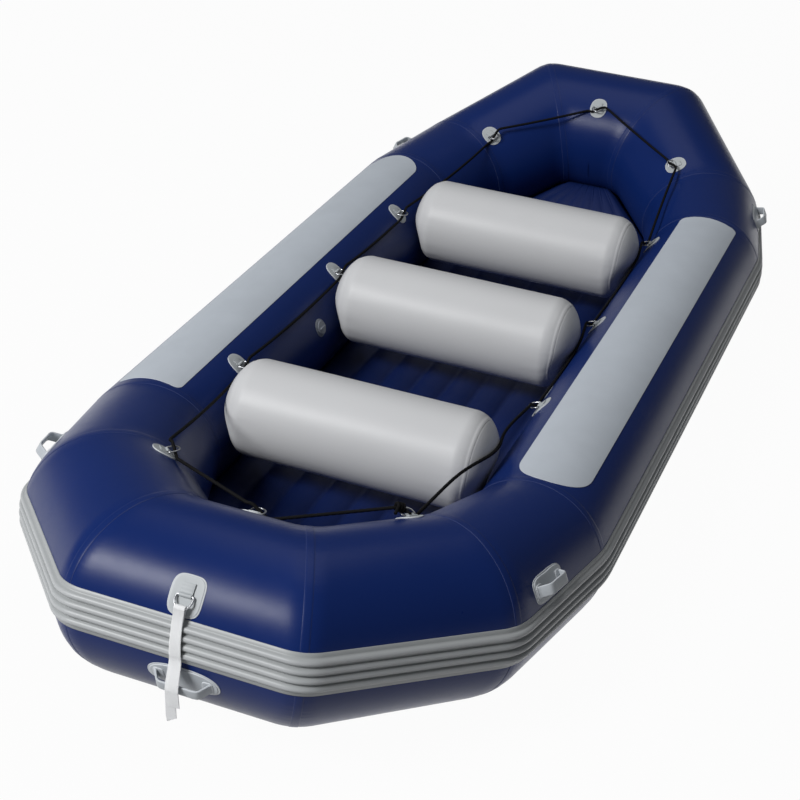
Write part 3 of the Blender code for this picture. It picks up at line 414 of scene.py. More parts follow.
def turned_shell(bm, profile, steps, place, ribs=None):
    """A profile of (radius, height) turned about the local Z axis. Ribs are (count, depth, first, last)."""
    rings = []
    for row, (radius, height) in enumerate(profile):
        ring = []
        for step in range(steps):
            turn = math.tau * step / steps
            reach = radius
            if ribs and ribs[2] <= row <= ribs[3]:
                reach += ribs[1] * (0.5 + 0.5 * math.cos(turn * ribs[0]))
            ring.append(place @ Vector((reach * math.cos(turn), reach * math.sin(turn), height)))
        rings.append(ring)
    loft(bm, rings)


def smooth_path(points, steps, closed=True):
    """A curve through the points, with evenly shared steps between them."""
    count = len(points)
    made = []
    for index in range(count if closed else count - 1):
        a = points[(index - 1) % count] if closed or index else points[0]
        b, c = points[index], points[(index + 1) % count]
        d = points[(index + 2) % count] if closed or index + 2 < count else points[-1]
        for step in range(steps):
            t = step / steps
            bend = (a * 2 - b * 5 + c * 4 - d) * t * t
            made.append((b * 2 + (c - a) * t + bend + (b * 3 - a - c * 3 + d) * t**3) * 0.5)
    if not closed:
        made.append(points[-1].copy())
    return made


# Geometry Nodes trees
def node_group(kind, name, inputs, outputs):
    """A node tree with inputs as (name, socket type, default) and outputs as (name, socket type)."""
    tree = bpy.data.node_groups.new(name, kind)
    for label, socket_type, default in inputs:
        socket = tree.interface.new_socket(label, in_out="INPUT", socket_type=socket_type)
        if default is not None:
            socket.default_value = default
    for label, socket_type in outputs:
        tree.interface.new_socket(label, in_out="OUTPUT", socket_type=socket_type)
    return tree, tree.nodes.new("NodeGroupInput"), tree.nodes.new("NodeGroupOutput")


def geometry_tree(name, inputs):
    """A tree that takes a path of edges and these inputs, and a material for what it makes."""
    path, material = ("Geometry", "NodeSocketGeometry"), ("Material", "NodeSocketMaterial", None)
    return node_group("GeometryNodeTree", name, ((*path, None), *inputs, material), (path,))


def end_tree(tree, start, end, made):
    """The end of each geometry tree: real faces that are smooth and have their material."""
    real = wire(tree, "GeometryNodeRealizeInstances", Geometry=made).outputs[0]
    smooth = wire(tree, "GeometryNodeSetShadeSmooth", Geometry=real).outputs[0]
    done = wire(tree, "GeometryNodeSetMaterial", Geometry=smooth, Material=start.outputs["Material"])
    tree.links.new(done.outputs[0], end.inputs["Geometry"])
    return tree


def wire(tree, kind, settings=None, **inputs):
    """Adds a node, sets it up and links or fills its inputs, which are named, or numbered as i0 and on."""
    node = tree.nodes.new(kind)
    for key, value in (settings or {}).items():
        setattr(node, key, value)
    for key, value in inputs.items():
        label = key.replace("_", " ")
        socket = node.inputs[int(key[1:])] if key[0] == "i" and key[1:].isdigit() else node.inputs[label]
        if isinstance(value, bpy.types.NodeSocket):
            tree.links.new(value, socket)
        elif value is not None:
            socket.default_value = value
    return node


def maths(tree, operation, *values):
    return wire(tree, "ShaderNodeMath", {"operation": operation},
                **{"i%d" % at: value for at, value in enumerate(values)}).outputs[0]


def sweep_tree():
    """Round wire or braided rope along a path of edges. The braid's bumps cross in two directions."""
    tree, start, end = geometry_tree("sweep_along_path", (
        ("Radius", "NodeSocketFloat", 0.005), ("Sides", "NodeSocketInt", 12),
        ("Step", "NodeSocketFloat", 0.003), ("Braid depth", "NodeSocketFloat", 0.0),
        ("Braid pitch", "NodeSocketFloat", 0.02), ("Strands", "NodeSocketFloat", 8.0)))
    path = wire(tree, "GeometryNodeMeshToCurve", Mesh=start.outputs["Geometry"]).outputs[0]
    path = wire(tree, "GeometryNodeResampleCurve", {"mode": "LENGTH"}, Curve=path,
                Length=start.outputs["Step"]).outputs[0]
    along = wire(tree, "GeometryNodeSplineParameter").outputs["Length"]
    path = wire(tree, "GeometryNodeStoreNamedAttribute", {"data_type": "FLOAT", "domain": "POINT"},
                Geometry=path, Name="rope_run", Value=along).outputs[0]
    circle = wire(tree, "GeometryNodeCurvePrimitiveCircle", Resolution=start.outputs["Sides"],
                  Radius=start.outputs["Radius"]).outputs[0]
    around = wire(tree, "GeometryNodeSplineParameter").outputs["Factor"]
    circle = wire(tree, "GeometryNodeStoreNamedAttribute", {"data_type": "FLOAT", "domain": "POINT"},
                  Geometry=circle, Name="rope_turn", Value=around).outputs[0]
    tube = wire(tree, "GeometryNodeCurveToMesh", Curve=path, Profile_Curve=circle, Fill_Caps=True).outputs[0]
    run = wire(tree, "GeometryNodeInputNamedAttribute", {"data_type": "FLOAT"}, Name="rope_run").outputs[0]
    turn = wire(tree, "GeometryNodeInputNamedAttribute", {"data_type": "FLOAT"}, Name="rope_turn").outputs[0]
    phase = maths(tree, "MULTIPLY", maths(tree, "DIVIDE", run, start.outputs["Braid pitch"]), math.tau)
    turned = maths(tree, "MULTIPLY", maths(tree, "MULTIPLY", turn, start.outputs["Strands"]), math.tau / 2)
    bumps = maths(tree, "MAXIMUM", maths(tree, "SINE", maths(tree, "ADD", turned, phase)),
                  maths(tree, "SINE", maths(tree, "SUBTRACT", turned, phase)))
    lift = maths(tree, "MULTIPLY", bumps, start.outputs["Braid depth"])
    offset = wire(tree, "ShaderNodeVectorMath", {"operation": "SCALE"},
                  i0=wire(tree, "GeometryNodeInputNormal").outputs[0], Scale=lift).outputs[0]
    moved = wire(tree, "GeometryNodeSetPosition", Geometry=tube, Offset=offset).outputs[0]
    return end_tree(tree, start, end, moved)


def stitch_tree():
    """Short stitches laid end to end along a path of edges, a little apart."""
    tree, start, end = geometry_tree("stitches_along_path", (
        ("Pitch", "NodeSocketFloat", 0.0036), ("Length", "NodeSocketFloat", 0.0026),
        ("Thread", "NodeSocketFloat", 0.00045)))
    path = wire(tree, "GeometryNodeMeshToCurve", Mesh=start.outputs["Geometry"]).outputs[0]
    points = wire(tree, "GeometryNodeCurveToPoints", {"mode": "LENGTH"}, Curve=path,
                  Length=start.outputs["Pitch"])
    stitch = wire(tree, "GeometryNodeMeshIcoSphere", Radius=0.5, Subdivisions=1).outputs[0]
    size = wire(tree, "ShaderNodeCombineXYZ", X=start.outputs["Thread"], Y=start.outputs["Thread"],
                Z=start.outputs["Length"]).outputs[0]
    placed = wire(tree, "GeometryNodeInstanceOnPoints", Points=points.outputs["Points"], Instance=stitch,
                  Rotation=points.outputs["Rotation"], Scale=size).outputs[0]
    return end_tree(tree, start, end, placed)


def run_tree(name, paths, tree_name, values, closed=False):
    """The plain mesh that a tree makes from paths of points."""
    tree = bpy.data.node_groups[tree_name]
    bm = bmesh.new()
    for path in paths:
        verts = [bm.verts.new(point) for point in path]
        for here, after in zip(verts, verts[1:] + (verts[:1] if closed else [])):
            bm.edges.new((here, after))
    guide = bpy.data.meshes.new(name + "_guide")
    bm.to_mesh(guide)
    bm.free()
    host = bpy.data.objects.new(name + "_guide", guide)
    bpy.context.scene.collection.objects.link(host)
    modifier = host.modifiers.new("tree", "NODES")
    modifier.node_group = tree
    for item in tree.interface.items_tree:
        if item.item_type == "SOCKET" and item.in_out == "INPUT" and item.name in values:
            modifier[item.identifier] = values[item.name]
    host.update_tag()
    bpy.context.view_layer.update()
    graph = bpy.context.evaluated_depsgraph_get()
    mesh = bpy.data.meshes.new_from_object(host.evaluated_get(graph), preserve_all_data_layers=True,
                                           depsgraph=graph)
    host.modifiers.remove(modifier)
    bpy.data.objects.remove(host, do_unlink=True)
    bpy.data.meshes.remove(guide)
    if not mesh.polygons:
        raise RuntimeError(name + " came out of its tree with no faces")
    mesh.name = name
    return mesh


def add_mesh(bm, mesh):
    """Adds a plain mesh to a piece in the making."""
    first = len(bm.faces)
    bm.from_mesh(mesh)
    bm.faces.ensure_lookup_table()
    for face in bm.faces[first:]:
        face.material_index = 0
    bpy.data.meshes.remove(mesh)


# Finishes
RIM_COLOUR = (0.75, 0.77, 0.80, 1.0)


def weave_group():
    """Threads of a base cloth that show through its coating, with a fine pebble over them."""
    tree, start, end = node_group("ShaderNodeTree", "coated_weave", (
        ("Vector", "NodeSocketVector", None), ("Pitch", "NodeSocketFloat", 0.0011),
        ("Thread", "NodeSocketFloat", 0.5), ("Pebble", "NodeSocketFloat", 0.5),
        ("Pebble size", "NodeSocketFloat", 0.0006)), (("Height", "NodeSocketFloat"),))
    split = wire(tree, "ShaderNodeSeparateXYZ", Vector=start.outputs["Vector"])
    turns = maths(tree, "DIVIDE", math.tau / 2, start.outputs["Pitch"])
    warp = maths(tree, "ABSOLUTE", maths(tree, "SINE", maths(tree, "MULTIPLY", split.outputs[0], turns)))
    weft = maths(tree, "ABSOLUTE", maths(tree, "SINE", maths(tree, "MULTIPLY", split.outputs[1], turns)))
    cloth = maths(tree, "MULTIPLY", maths(tree, "ADD", warp, weft), start.outputs["Thread"])
    where = wire(tree, "ShaderNodeTexCoord").outputs["Object"]
    fine = maths(tree, "DIVIDE", 1.0, start.outputs["Pebble size"])
    grain = wire(tree, "ShaderNodeTexNoise", Vector=where, Scale=fine, Detail=2.0).outputs["Fac"]
    height = maths(tree, "MULTIPLY_ADD", grain, start.outputs["Pebble"], cloth)
    tree.links.new(height, end.inputs["Height"])
    return tree


def weathering_group():
    """Slow changes of tone and gloss: handling marks and paler rims."""
    tree, start, end = node_group("ShaderNodeTree", "weathering", (
        ("Color", "NodeSocketColor", None), ("Roughness", "NodeSocketFloat", 0.4),
        ("Tone", "NodeSocketFloat", 0.08), ("Gloss change", "NodeSocketFloat", 0.06),
        ("Rim", "NodeSocketFloat", 0.0), ("Rim strength", "NodeSocketFloat", 0.25),
        ("Patch size", "NodeSocketFloat", 0.25)), (
        ("Color", "NodeSocketColor"), ("Roughness", "NodeSocketFloat")))
    where = wire(tree, "ShaderNodeTexCoord").outputs["Object"]
    scale = maths(tree, "DIVIDE", 1.0, start.outputs["Patch size"])
    slow = wire(tree, "ShaderNodeTexNoise", Vector=where, Scale=scale, Detail=5.0, Roughness=0.6)
    centred = maths(tree, "SUBTRACT", slow.outputs["Fac"], 0.5)
    tone = maths(tree, "MULTIPLY_ADD", maths(tree, "MULTIPLY", centred, start.outputs["Tone"]), 2.0, 1.0)
    toned = wire(tree, "ShaderNodeVectorMath", {"operation": "SCALE"}, i0=start.outputs["Color"],
                 Scale=tone).outputs[0]
    rim = maths(tree, "MULTIPLY", start.outputs["Rim"], start.outputs["Rim strength"])
    pale = wire(tree, "ShaderNodeMix", {"data_type": "RGBA"})
    tree.links.new(rim, pale.inputs[0])
    tree.links.new(toned, pale.inputs[6])
    pale.inputs[7].default_value = RIM_COLOUR
    fine = wire(tree, "ShaderNodeTexNoise", Vector=where, Scale=38.0, Detail=3.0).outputs["Fac"]
    blotch = maths(tree, "ADD", centred, maths(tree, "MULTIPLY", maths(tree, "SUBTRACT", fine, 0.5), 0.6))
    rough = maths(tree, "MULTIPLY_ADD", blotch, maths(tree, "MULTIPLY", start.outputs["Gloss change"], 2.0),
                  start.outputs["Roughness"])
    tree.links.new(pale.outputs[2], end.inputs["Color"])
    tree.links.new(rough, end.inputs["Roughness"])
    return tree


def seam_group():
    """Puckers that run out of a seam and die away."""
    tree, start, end = node_group("ShaderNodeTree", "seam_pucker", (
        ("Vector", "NodeSocketVector", None), ("Seam", "NodeSocketFloat", 0.0),
        ("Count", "NodeSocketFloat", 60.0)), (("Height", "NodeSocketFloat"),))
    stretched = wire(tree, "ShaderNodeMapping", Vector=start.outputs["Vector"], Scale=(1.0, 0.12, 1.0))
    folds = wire(tree, "ShaderNodeTexNoise", Vector=stretched.outputs[0], Scale=start.outputs["Count"],
                 Detail=1.5)
    fade = maths(tree, "POWER", start.outputs["Seam"], 1.6)
    tree.links.new(maths(tree, "MULTIPLY", folds.outputs["Fac"], fade), end.inputs["Height"])
    return tree


def effect(tree, name, **inputs):
    """Places a shader group with its own values."""
    return wire(tree, "ShaderNodeGroup", {"node_tree": bpy.data.node_groups[name]}, **inputs)


def attribute(tree, name):
    return wire(tree, "ShaderNodeAttribute", {"attribute_name": name}).outputs["Fac"]


def weave_map(tree):
    return wire(tree, "ShaderNodeUVMap", {"uv_map": "weave"}).outputs[0]


def finish_of(name, colour, roughness, plain, tone=0.08, gloss=0.06, rim=0.25, size=0.25):
    """A material whose colour and gloss go through the weathering group. Plain values sit on the shader."""
    made = bpy.data.materials.new(name)
    made.use_nodes = True
    tree = made.node_tree
    shader = tree.nodes["Principled BSDF"]
    worn = effect(tree, "weathering", Color=(*colour, 1.0), Roughness=roughness, Tone=tone,
                  Gloss_change=gloss, Rim=attribute(tree, "rim"), Rim_strength=rim, Patch_size=size)
    tree.links.new(worn.outputs["Color"], shader.inputs["Base Color"])
    tree.links.new(worn.outputs["Roughness"], shader.inputs["Roughness"])
    for key, value in plain.items():
        shader.inputs[key].default_value = value
    return made, tree, shader


def bumped(tree, shader, *layers):
    """Bump nodes in a chain, as (height socket, distance, strength)."""
    normal = None
    for height, distance, strength in layers:
        bump = wire(tree, "ShaderNodeBump", Height=height, Distance=distance, Strength=strength)
        if normal is not None:
            tree.links.new(normal, bump.inputs["Normal"])
        normal = bump.outputs["Normal"]
    tree.links.new(normal, shader.inputs["Normal"])


def coated_fabric(name, colour, roughness, thread, pebble, coat, gloss=0.24, tone=0.08, rim=0.1,
                  pebble_size=0.0007):
    made, tree, shader = finish_of(name, colour, roughness, {
        "Coat Weight": coat, "Coat Roughness": 0.30, "Specular IOR Level": gloss}, tone=tone, rim=rim)
    cloth = weave_map(tree)
    weave = effect(tree, "coated_weave", Vector=cloth, Pitch=sizes().weave_pitch, Thread=thread,
                   Pebble=pebble, Pebble_size=pebble_size)
    pucker = effect(tree, "seam_pucker", Vector=cloth, Seam=attribute(tree, "seam"), Count=60.0)
    bumped(tree, shader, (pucker.outputs["Height"], 0.0016, 0.7), (weave.outputs["Height"], 0.00012, 0.6))
    return made


def rubber(name, colour, roughness, pebble=0.8, size=0.0009, rim=0.35):
    made, tree, shader = finish_of(name, colour, roughness, {"Specular IOR Level": 0.45}, rim=rim, size=0.12)
    grain = effect(tree, "coated_weave", Vector=(0.0, 0.0, 0.0), Thread=0.0, Pebble=pebble, Pebble_size=size)
    bumped(tree, shader, (grain.outputs["Height"], 0.00015, 0.6))
    return made


def fine_noise(tree, scale, detail):
    """Fine grain on object coordinates, for drawn marks and hairs."""
    where = wire(tree, "ShaderNodeTexCoord").outputs["Object"]
    return wire(tree, "ShaderNodeTexNoise", Vector=where, Scale=scale, Detail=detail).outputs["Fac"]


def make_finishes():
    hue = colours()
    made = {
        "tube": coated_fabric("navy_tube_fabric", hue.tube, 0.31, 0.25, 0.5, 0.0, gloss=0.17, tone=0.05),
        "tape": coated_fabric("navy_seam_tape", hue.tube, 0.35, 0.35, 0.5, 0.0, gloss=0.17, tone=0.05),
        "floor": coated_fabric("navy_floor_fabric", hue.floor, 0.55, 0.5, 0.8, 0.05),
        "thwart": coated_fabric("grey_thwart_fabric", hue.thwart, 0.46, 0.3, 0.5, 0.05, gloss=0.35,
                                tone=0.03),
        "wear": rubber("grey_wear_sheet", hue.wear, 0.58, 1.2, 0.0011, rim=0.15),
        "strake": rubber("pale_strake_rubber", hue.strake, 0.42, 0.4, 0.0010, rim=0.2),
        "patch": rubber("pale_patch_rubber", hue.patch, 0.55),
        "handle": rubber("grey_handle_rubber", hue.handle, 0.45, 0.6, 0.0007),
        "valve": rubber("grey_valve_plastic", hue.valve, 0.38, 0.5, 0.0006, rim=0.05),
    }
    made["steel"], tree, shader = finish_of("drawn_steel", hue.steel, 0.34, {"Metallic": 1.0}, tone=0.04,
                                            gloss=0.1, size=0.02)
    bumped(tree, shader, (fine_noise(tree, 900.0, 2.0), 0.00004, 0.5))
    made["rope"], tree, shader = finish_of("black_braid", hue.rope, 0.75, {"Specular IOR Level": 0.15},
                                           tone=0.3, rim=0.0, size=0.01)
    bumped(tree, shader, (fine_noise(tree, 1400.0, 3.0), 0.0003, 0.7))
    made["webbing"], tree, shader = finish_of("pale_webbing", hue.webbing, 0.78, {"Sheen Weight": 0.2},
                                              tone=0.06, size=0.05)
    weave = effect(tree, "coated_weave", Vector=weave_map(tree), Pitch=0.0016, Thread=0.8, Pebble=0.4,
                   Pebble_size=0.0003)
    bumped(tree, shader, (weave.outputs["Height"], 0.0004, 0.8))
    return made


FINISH = {}


class RAFT_OT_finishes(bpy.types.Operator):
    """Build the shared shader groups, the finishes and the geometry trees."""

    bl_idname = "raft.finishes"
    bl_label = "Finishes and trees"

    def execute(self, context):
        weave_group()
        weathering_group()
        seam_group()
        sweep_tree()
        stitch_tree()
        FINISH.update(make_finishes())
        return {"FINISHED"}


# Camera, floor and light
CAMERA_PLACE = (1.56313, -4.86174 + SHIFT_Y, 2.89488)
CAMERA_RIGHT = (0.926826, 0.371341, 0.055682)
CAMERA_UP = (-0.229407, 0.442585, 0.866886)
CAMERA_FOCAL = 1723.79 / 800  # in picture widths
CAMERA_SHIFT = (3.6 / 800, 0.0)
CAMERA_SENSOR = 36.0
LAMPS = (  # name, place, size, power, what it looks at
    ("key", (-4.8, -7.8, 7.4), (4.0, 2.8), 1130.0, (0.0, -0.4, 0.3)),
    ("top", (-0.6, 1.6, 6.6), (4.4, 5.4), 80.0, (-0.1, 0.3, 0.3)),
)
WHITE = (1.0, 1.0, 1.0, 1.0)
FLOOR_COLOUR, FLOOR_WHITE, FLOOR_REACH = (0.34, 0.34, 0.345, 1.0), 0.965, 30.0
AIR_COLOUR, AIR_STRENGTH = (0.93, 0.96, 1.0, 1.0), 0.13


def whitened(tree, surface, seen, white_node, output):
    """Shows plain white where it is seen directly, and the surface's own shading to all else."""
    white = wire(tree, white_node, Color=WHITE, Strength=1.0).outputs[0]
    mix = wire(tree, "ShaderNodeMixShader", i0=seen, i1=surface, i2=white)
    tree.links.new(mix.outputs[0], tree.nodes[output].inputs["Surface"])


class RAFT_OT_stage(bpy.types.Operator):
    """Set up the floor, the soft lamps, the white surroundings and the camera."""

    bl_idname = "raft.stage"
    bl_label = "Camera, floor and light"

    def execute(self, context):
        context.scene.view_settings.view_transform = "Standard"
        self.floor(context.scene)
        self.air(context.scene)
        self.lamps(context.scene)
        self.camera(context.scene)
        return {"FINISHED"}

    def floor(self, scene):
        bm = bmesh.new()
        bmesh.ops.create_grid(bm, x_segments=2, y_segments=2, size=FLOOR_REACH)
        mesh = bpy.data.meshes.new("studio_floor")
        bm.to_mesh(mesh)
        bm.free()
        floor = bpy.data.objects.new("studio_floor", mesh)
        scene.collection.objects.link(floor)
        pale = bpy.data.materials.new("studio_floor")
        pale.use_nodes = True
        tree = pale.node_tree
        shader = tree.nodes["Principled BSDF"]
        shader.inputs["Base Color"].default_value = FLOOR_COLOUR
        shader.inputs["Roughness"].default_value = 0.9
        path = wire(tree, "ShaderNodeLightPath").outputs
        seen = maths(tree, "MAXIMUM", path["Is Camera Ray"], path["Is Glossy Ray"])
        seen = maths(tree, "MAXIMUM", seen, path["Is Transmission Ray"])
        whitened(tree, shader.outputs[0], maths(tree, "MULTIPLY", seen, FLOOR_WHITE), "ShaderNodeEmission",
                 "Material Output")
        mesh.materials.append(pale)
        floor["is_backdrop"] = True

    def air(self, scene):
        world = bpy.data.worlds.new("studio")
        scene.world = world
        world.use_nodes = True
        tree = world.node_tree
        air = tree.nodes["Background"]
        air.inputs["Color"].default_value = AIR_COLOUR
        air.inputs["Strength"].default_value = AIR_STRENGTH
        path = wire(tree, "ShaderNodeLightPath").outputs
        whitened(tree, air.outputs[0], path["Is Camera Ray"], "ShaderNodeBackground", "World Output")

    def lamps(self, scene):
        for name, place, (wide, deep), power, target in LAMPS:
            data = bpy.data.lights.new(name, "AREA")
            data.shape = "RECTANGLE"
            data.size, data.size_y, data.energy = wide, deep, power
            lamp = bpy.data.objects.new(name, data)
            scene.collection.objects.link(lamp)
            lamp.location = place
            lamp.rotation_euler = (Vector(target) - Vector(place)).to_track_quat("-Z", "Y").to_euler()

    def camera(self, scene):
        data = bpy.data.cameras.new("camera")
        data.sensor_width = CAMERA_SENSOR
        data.lens = CAMERA_SENSOR * CAMERA_FOCAL
        data.clip_end = 100.0
        camera = bpy.data.objects.new("camera", data)
        scene.collection.objects.link(camera)
        right, up = Vector(CAMERA_RIGHT), Vector(CAMERA_UP)
        turn = Matrix((right, up, right.cross(up))).transposed().to_4x4()
        camera.matrix_world = Matrix.Translation(CAMERA_PLACE) @ turn
        data.shift_x, data.shift_y = CAMERA_SHIFT
        scene.camera = camera


# Air tubes
PUCKER_REACH, SEAM_REACH = 0.035, 0.075  # how far from a mitre the puckers and the seam mask go
PUCKER_TURNS, PUCKER_SEED = 7.0, 3.7


def tube_stations():
    """(share of the run, offset) of each section of a tube between two mitres."""
    near = [0.0, 0.006, 0.012, 0.018, 0.024, 0.031, 0.038, 0.047, 0.058, 0.075, 0.100]
    steps = 9
    stations = [(0.0, x) for x in near]
    stations += [(step / steps, near[-1] * (1 - 2 * step / steps)) for step in range(1, steps)]
    return stations + [(1.0, -x) for x in reversed(near)]


def pucker(from_mitre, lean, seed):
    """Height of the skin's soft puckers near a mitre."""
    where = Vector((math.cos(lean) * PUCKER_TURNS, math.sin(lean) * PUCKER_TURNS, seed * PUCKER_SEED))
    fold = noise.noise(where) + 0.5 * noise.noise(where * 2.3)
    return sizes().pucker * fold * math.exp(-((from_mitre / PUCKER_REACH) ** 2))


def around():
    sides = sizes().tube_sides
    return [math.tau * step / sides for step in range(sides)]


TUBES = (  # name, first corner, last corner
    ("bow_tube", BOW, BOW_PORT), ("bow_port_corner_tube", BOW_PORT, BOW_PORT_SHOULDER),
    ("port_side_tube", BOW_PORT_SHOULDER, STERN_PORT), ("stern_port_corner_tube", STERN_PORT, STERN),
    ("stern_tube", STERN, STERN_STARBOARD),
    ("stern_starboard_corner_tube", STERN_STARBOARD, STERN_STARBOARD_SHOULDER),
    ("starboard_side_tube", STERN_STARBOARD_SHOULDER, BOW_STARBOARD),
    ("bow_starboard_corner_tube", BOW_STARBOARD, BOW_STARBOARD + 1),
)


def tube_skin(name, first, last):
    bm = bmesh.new()
    layer = bm.verts.layers.float.new("seam")
    leans = around()
    rings, uvs, masks = [], [], []
    gap, run = 0.0002, 0.0
    for segment in range(first, last):
        stations = tube_stations()[0 if segment == first else 1:]
        base = line_length(segment, 0.0)
        girth = CORNERS[segment % 12][1] / len(leans) * math.tau
        for share, offset in stations:
            ring, mask = [], []
            for lean in leans:
                length = line_length(segment, lean)
                x = share * length + offset
                from_mitre = min(x, length - x)
                seed = (segment + (0 if x < length - x else 1)) % 12
                if segment == first and x == 0.0:
                    x = gap
                if segment == last - 1 and x == length:
                    x = length - gap
                ring.append(on_line(segment, x, lean, pucker(from_mitre, lean, seed)))
                mask.append(max(0.0, 1.0 - from_mitre / SEAM_REACH))
            rings.append(ring)
            masks.append(mask)
            uvs.append([(girth * step, run + share * base + offset) for step in range(len(leans) + 1)])
        run += base
    loft(bm, rings, uv=uvs, layer=layer, values=masks)
    return new_piece(name + "_skin", bm, [FINISH["tube"]], replaces=[name], sharp=55.0)


def baffle_wall(name, segment, facing):
    """A shallow cup of fabric that parts two chambers, in the middle of an end tube."""
    rim = (END[2] - FABRIC) * FLAT_SHARE - SINK
    steps = 10
    turns = [math.pi / 2 * step / steps for step in range(1, steps + 1)]
    outer = [(rim * math.sin(turn), BAFFLE_DOME * math.cos(turn)) for turn in turns]
    outer.append((rim, -BAFFLE_LIP))
    inner = [(rim - FABRIC, -BAFFLE_LIP)]
    inner += [(radius - FABRIC, height - FABRIC) for radius, height in outer[-2::-1]]
    bm = bmesh.new()
    middle = (CORNERS[segment][0] + CORNERS[segment + 1][0]) / 2
    turn = Matrix.Translation(middle) @ Matrix.Rotation(math.copysign(math.pi / 2, facing), 4, "Y")
    turned_shell(bm, outer + inner, 64, turn)
    return new_piece(name + "_wall", bm, [FINISH["tube"]], replaces=[name])


class RAFT_OT_tubes(bpy.types.Operator):
    """Build the skins of the air tubes and the walls that part their chambers."""

    bl_idname = "raft.tubes"
    bl_label = "Air tubes"

    def execute(self, context):
        for name, first, last in TUBES:
            tube_skin(name, first, last)
        baffle_wall("bow_baffle", BOW, 1)
        baffle_wall("stern_baffle", STERN, -1)
        return {"FINISHED"}


class RAFT_OT_tapes(bpy.types.Operator):
    """Lay a tape over each mitre of the tubes."""

    bl_idname = "raft.tapes"
    bl_label = "Seam tapes"

    def execute(self, context):
        half, rise = sizes().tape_width / 2, sizes().tape_height
        section = [(-half, -SINK), (-half, rise * 0.6), (-half + 0.0007, rise), (-half / 2, rise)]
        section += [(0.0, rise)] + [(-x, lift) for x, lift in section[::-1]]
        section += [(half / 2, -SINK), (0.0, -SINK), (-half / 2, -SINK)]
        bm = bmesh.new()
        rim = bm.verts.layers.float.new("rim")
        leans = around()
        for index in range(12):
            rings = [[on_line(index, x, lean, lift + pucker(abs(x), lean, index)) for lean in leans]
                     for x, lift in section]
            edge = [[1.0 if abs(x) > half - 0.0005 else 0.0] * len(leans) for x, _ in section]
            girth = CORNERS[index][1] / len(leans) * math.tau
            uvs = [[(girth * step, x) for step in range(len(leans) + 1)] for x, _ in section + section[:1]]
            loft(bm, rings, wrap=True, uv=uvs, layer=rim, values=edge)
        new_piece("seam_tapes", bm, [FINISH["tape"]], sharp=50.0)
        return {"FINISHED"}


# Strake and wear sheets
RIB_START, RIB_WIDE, RIB_POWER, RIB_STEPS = 0.055, 0.89, 0.62, 10  # the first two in pitches


def strake_face():
    """(distance from the strake's middle, height) of its outer face, from top to bottom."""
    half = STRAKE_RIBS * STRAKE_PITCH / 2
    edge, web = half + STRAKE_FLANGE, STRAKE_BASE * 0.6
    face = [(-edge, -SINK), (-edge, web * 0.7), (-edge + 0.0006, web), (-half - 0.002, web)]
    for rib in range(STRAKE_RIBS):
        start = -half + rib * STRAKE_PITCH
        for step in range(RIB_STEPS + 1):
            share = step / RIB_STEPS
            swell = math.sin(math.pi * share) ** RIB_POWER
            height = STRAKE_BASE * 0.75 + (STRAKE_RISE + STRAKE_BASE * 0.25) * swell
            face.append((start + STRAKE_PITCH * (RIB_START + RIB_WIDE * share), height))
    return face + [(-x, lift) for x, lift in face[3::-1]]


class RAFT_OT_strake(bpy.types.Operator):
    """Build the ribbed strake that runs round the whole raft."""

    bl_idname = "raft.strake"
    bl_label = "Rubbing strake"

    def execute(self, context):
        face = strake_face()
        edge = face[-1][0]
        section = face + [(edge * (1 - step / 4), -SINK) for step in range(1, 8)]
        bm = bmesh.new()
        rim = bm.verts.layers.float.new("rim")
        rings, uvs, masks = [], [], []
        run = 0.0
        for segment in range(12):
            base = line_length(segment, math.pi / 2)
            for share, offset in tube_stations()[:-1]:
                ring = []
                for arc, lift in section:
                    def lean(index, arc=arc):
                        return CORNERS[index][2] + arc / CORNERS[index][1]

                    x = share * line_length(segment, lean, lift) + offset
                    ring.append(on_line(segment, x, lean, lift))
                rings.append(ring)
                uvs.append([(arc, run + share * base + offset) for arc, _ in section + section[:1]])
                masks.append([max(0.0, (lift - STRAKE_BASE) / STRAKE_RISE) ** 3 for _, lift in section])
            run += base
        uvs.append([(arc, run) for arc, _ in section + section[:1]])
        loft(bm, rings, wrap=True, uv=uvs, layer=rim, values=masks)
        new_piece("rub_strake_rubber", bm, [FINISH["strake"]],
                  replaces=["rub_strake"], sharp=60.0)
        return {"FINISHED"}


def wear_outline():
    """The sheet's edge: a square end with small corners at the bow, and a round one at the stern."""
    bow, stern = -WEAR_Y[0], -WEAR_Y[1] + WEAR_HALF
    outline = []
    for middle_x, middle_y, radius, first in (
            (bow - WEAR_CORNER, WEAR_HALF - WEAR_CORNER, WEAR_CORNER, 0), (stern, 0.0, WEAR_HALF, 90),
            (bow - WEAR_CORNER, WEAR_CORNER - WEAR_HALF, WEAR_CORNER, 270)):
        steps = 24 if radius == WEAR_HALF else 6
        sweep = 180 if radius == WEAR_HALF else 90
        for step in range(steps + 1):
            turn = math.radians(first + sweep * step / steps)
            outline.append(Vector((middle_x + radius * math.cos(turn), middle_y + radius * math.sin(turn))))
    dense = []
    for here, after in zip(outline, outline[1:] + outline[:1]):
        parts = max(1, round((after - here).length / 0.03))
        dense += [here.lerp(after, part / parts) for part in range(parts)]
    return dense


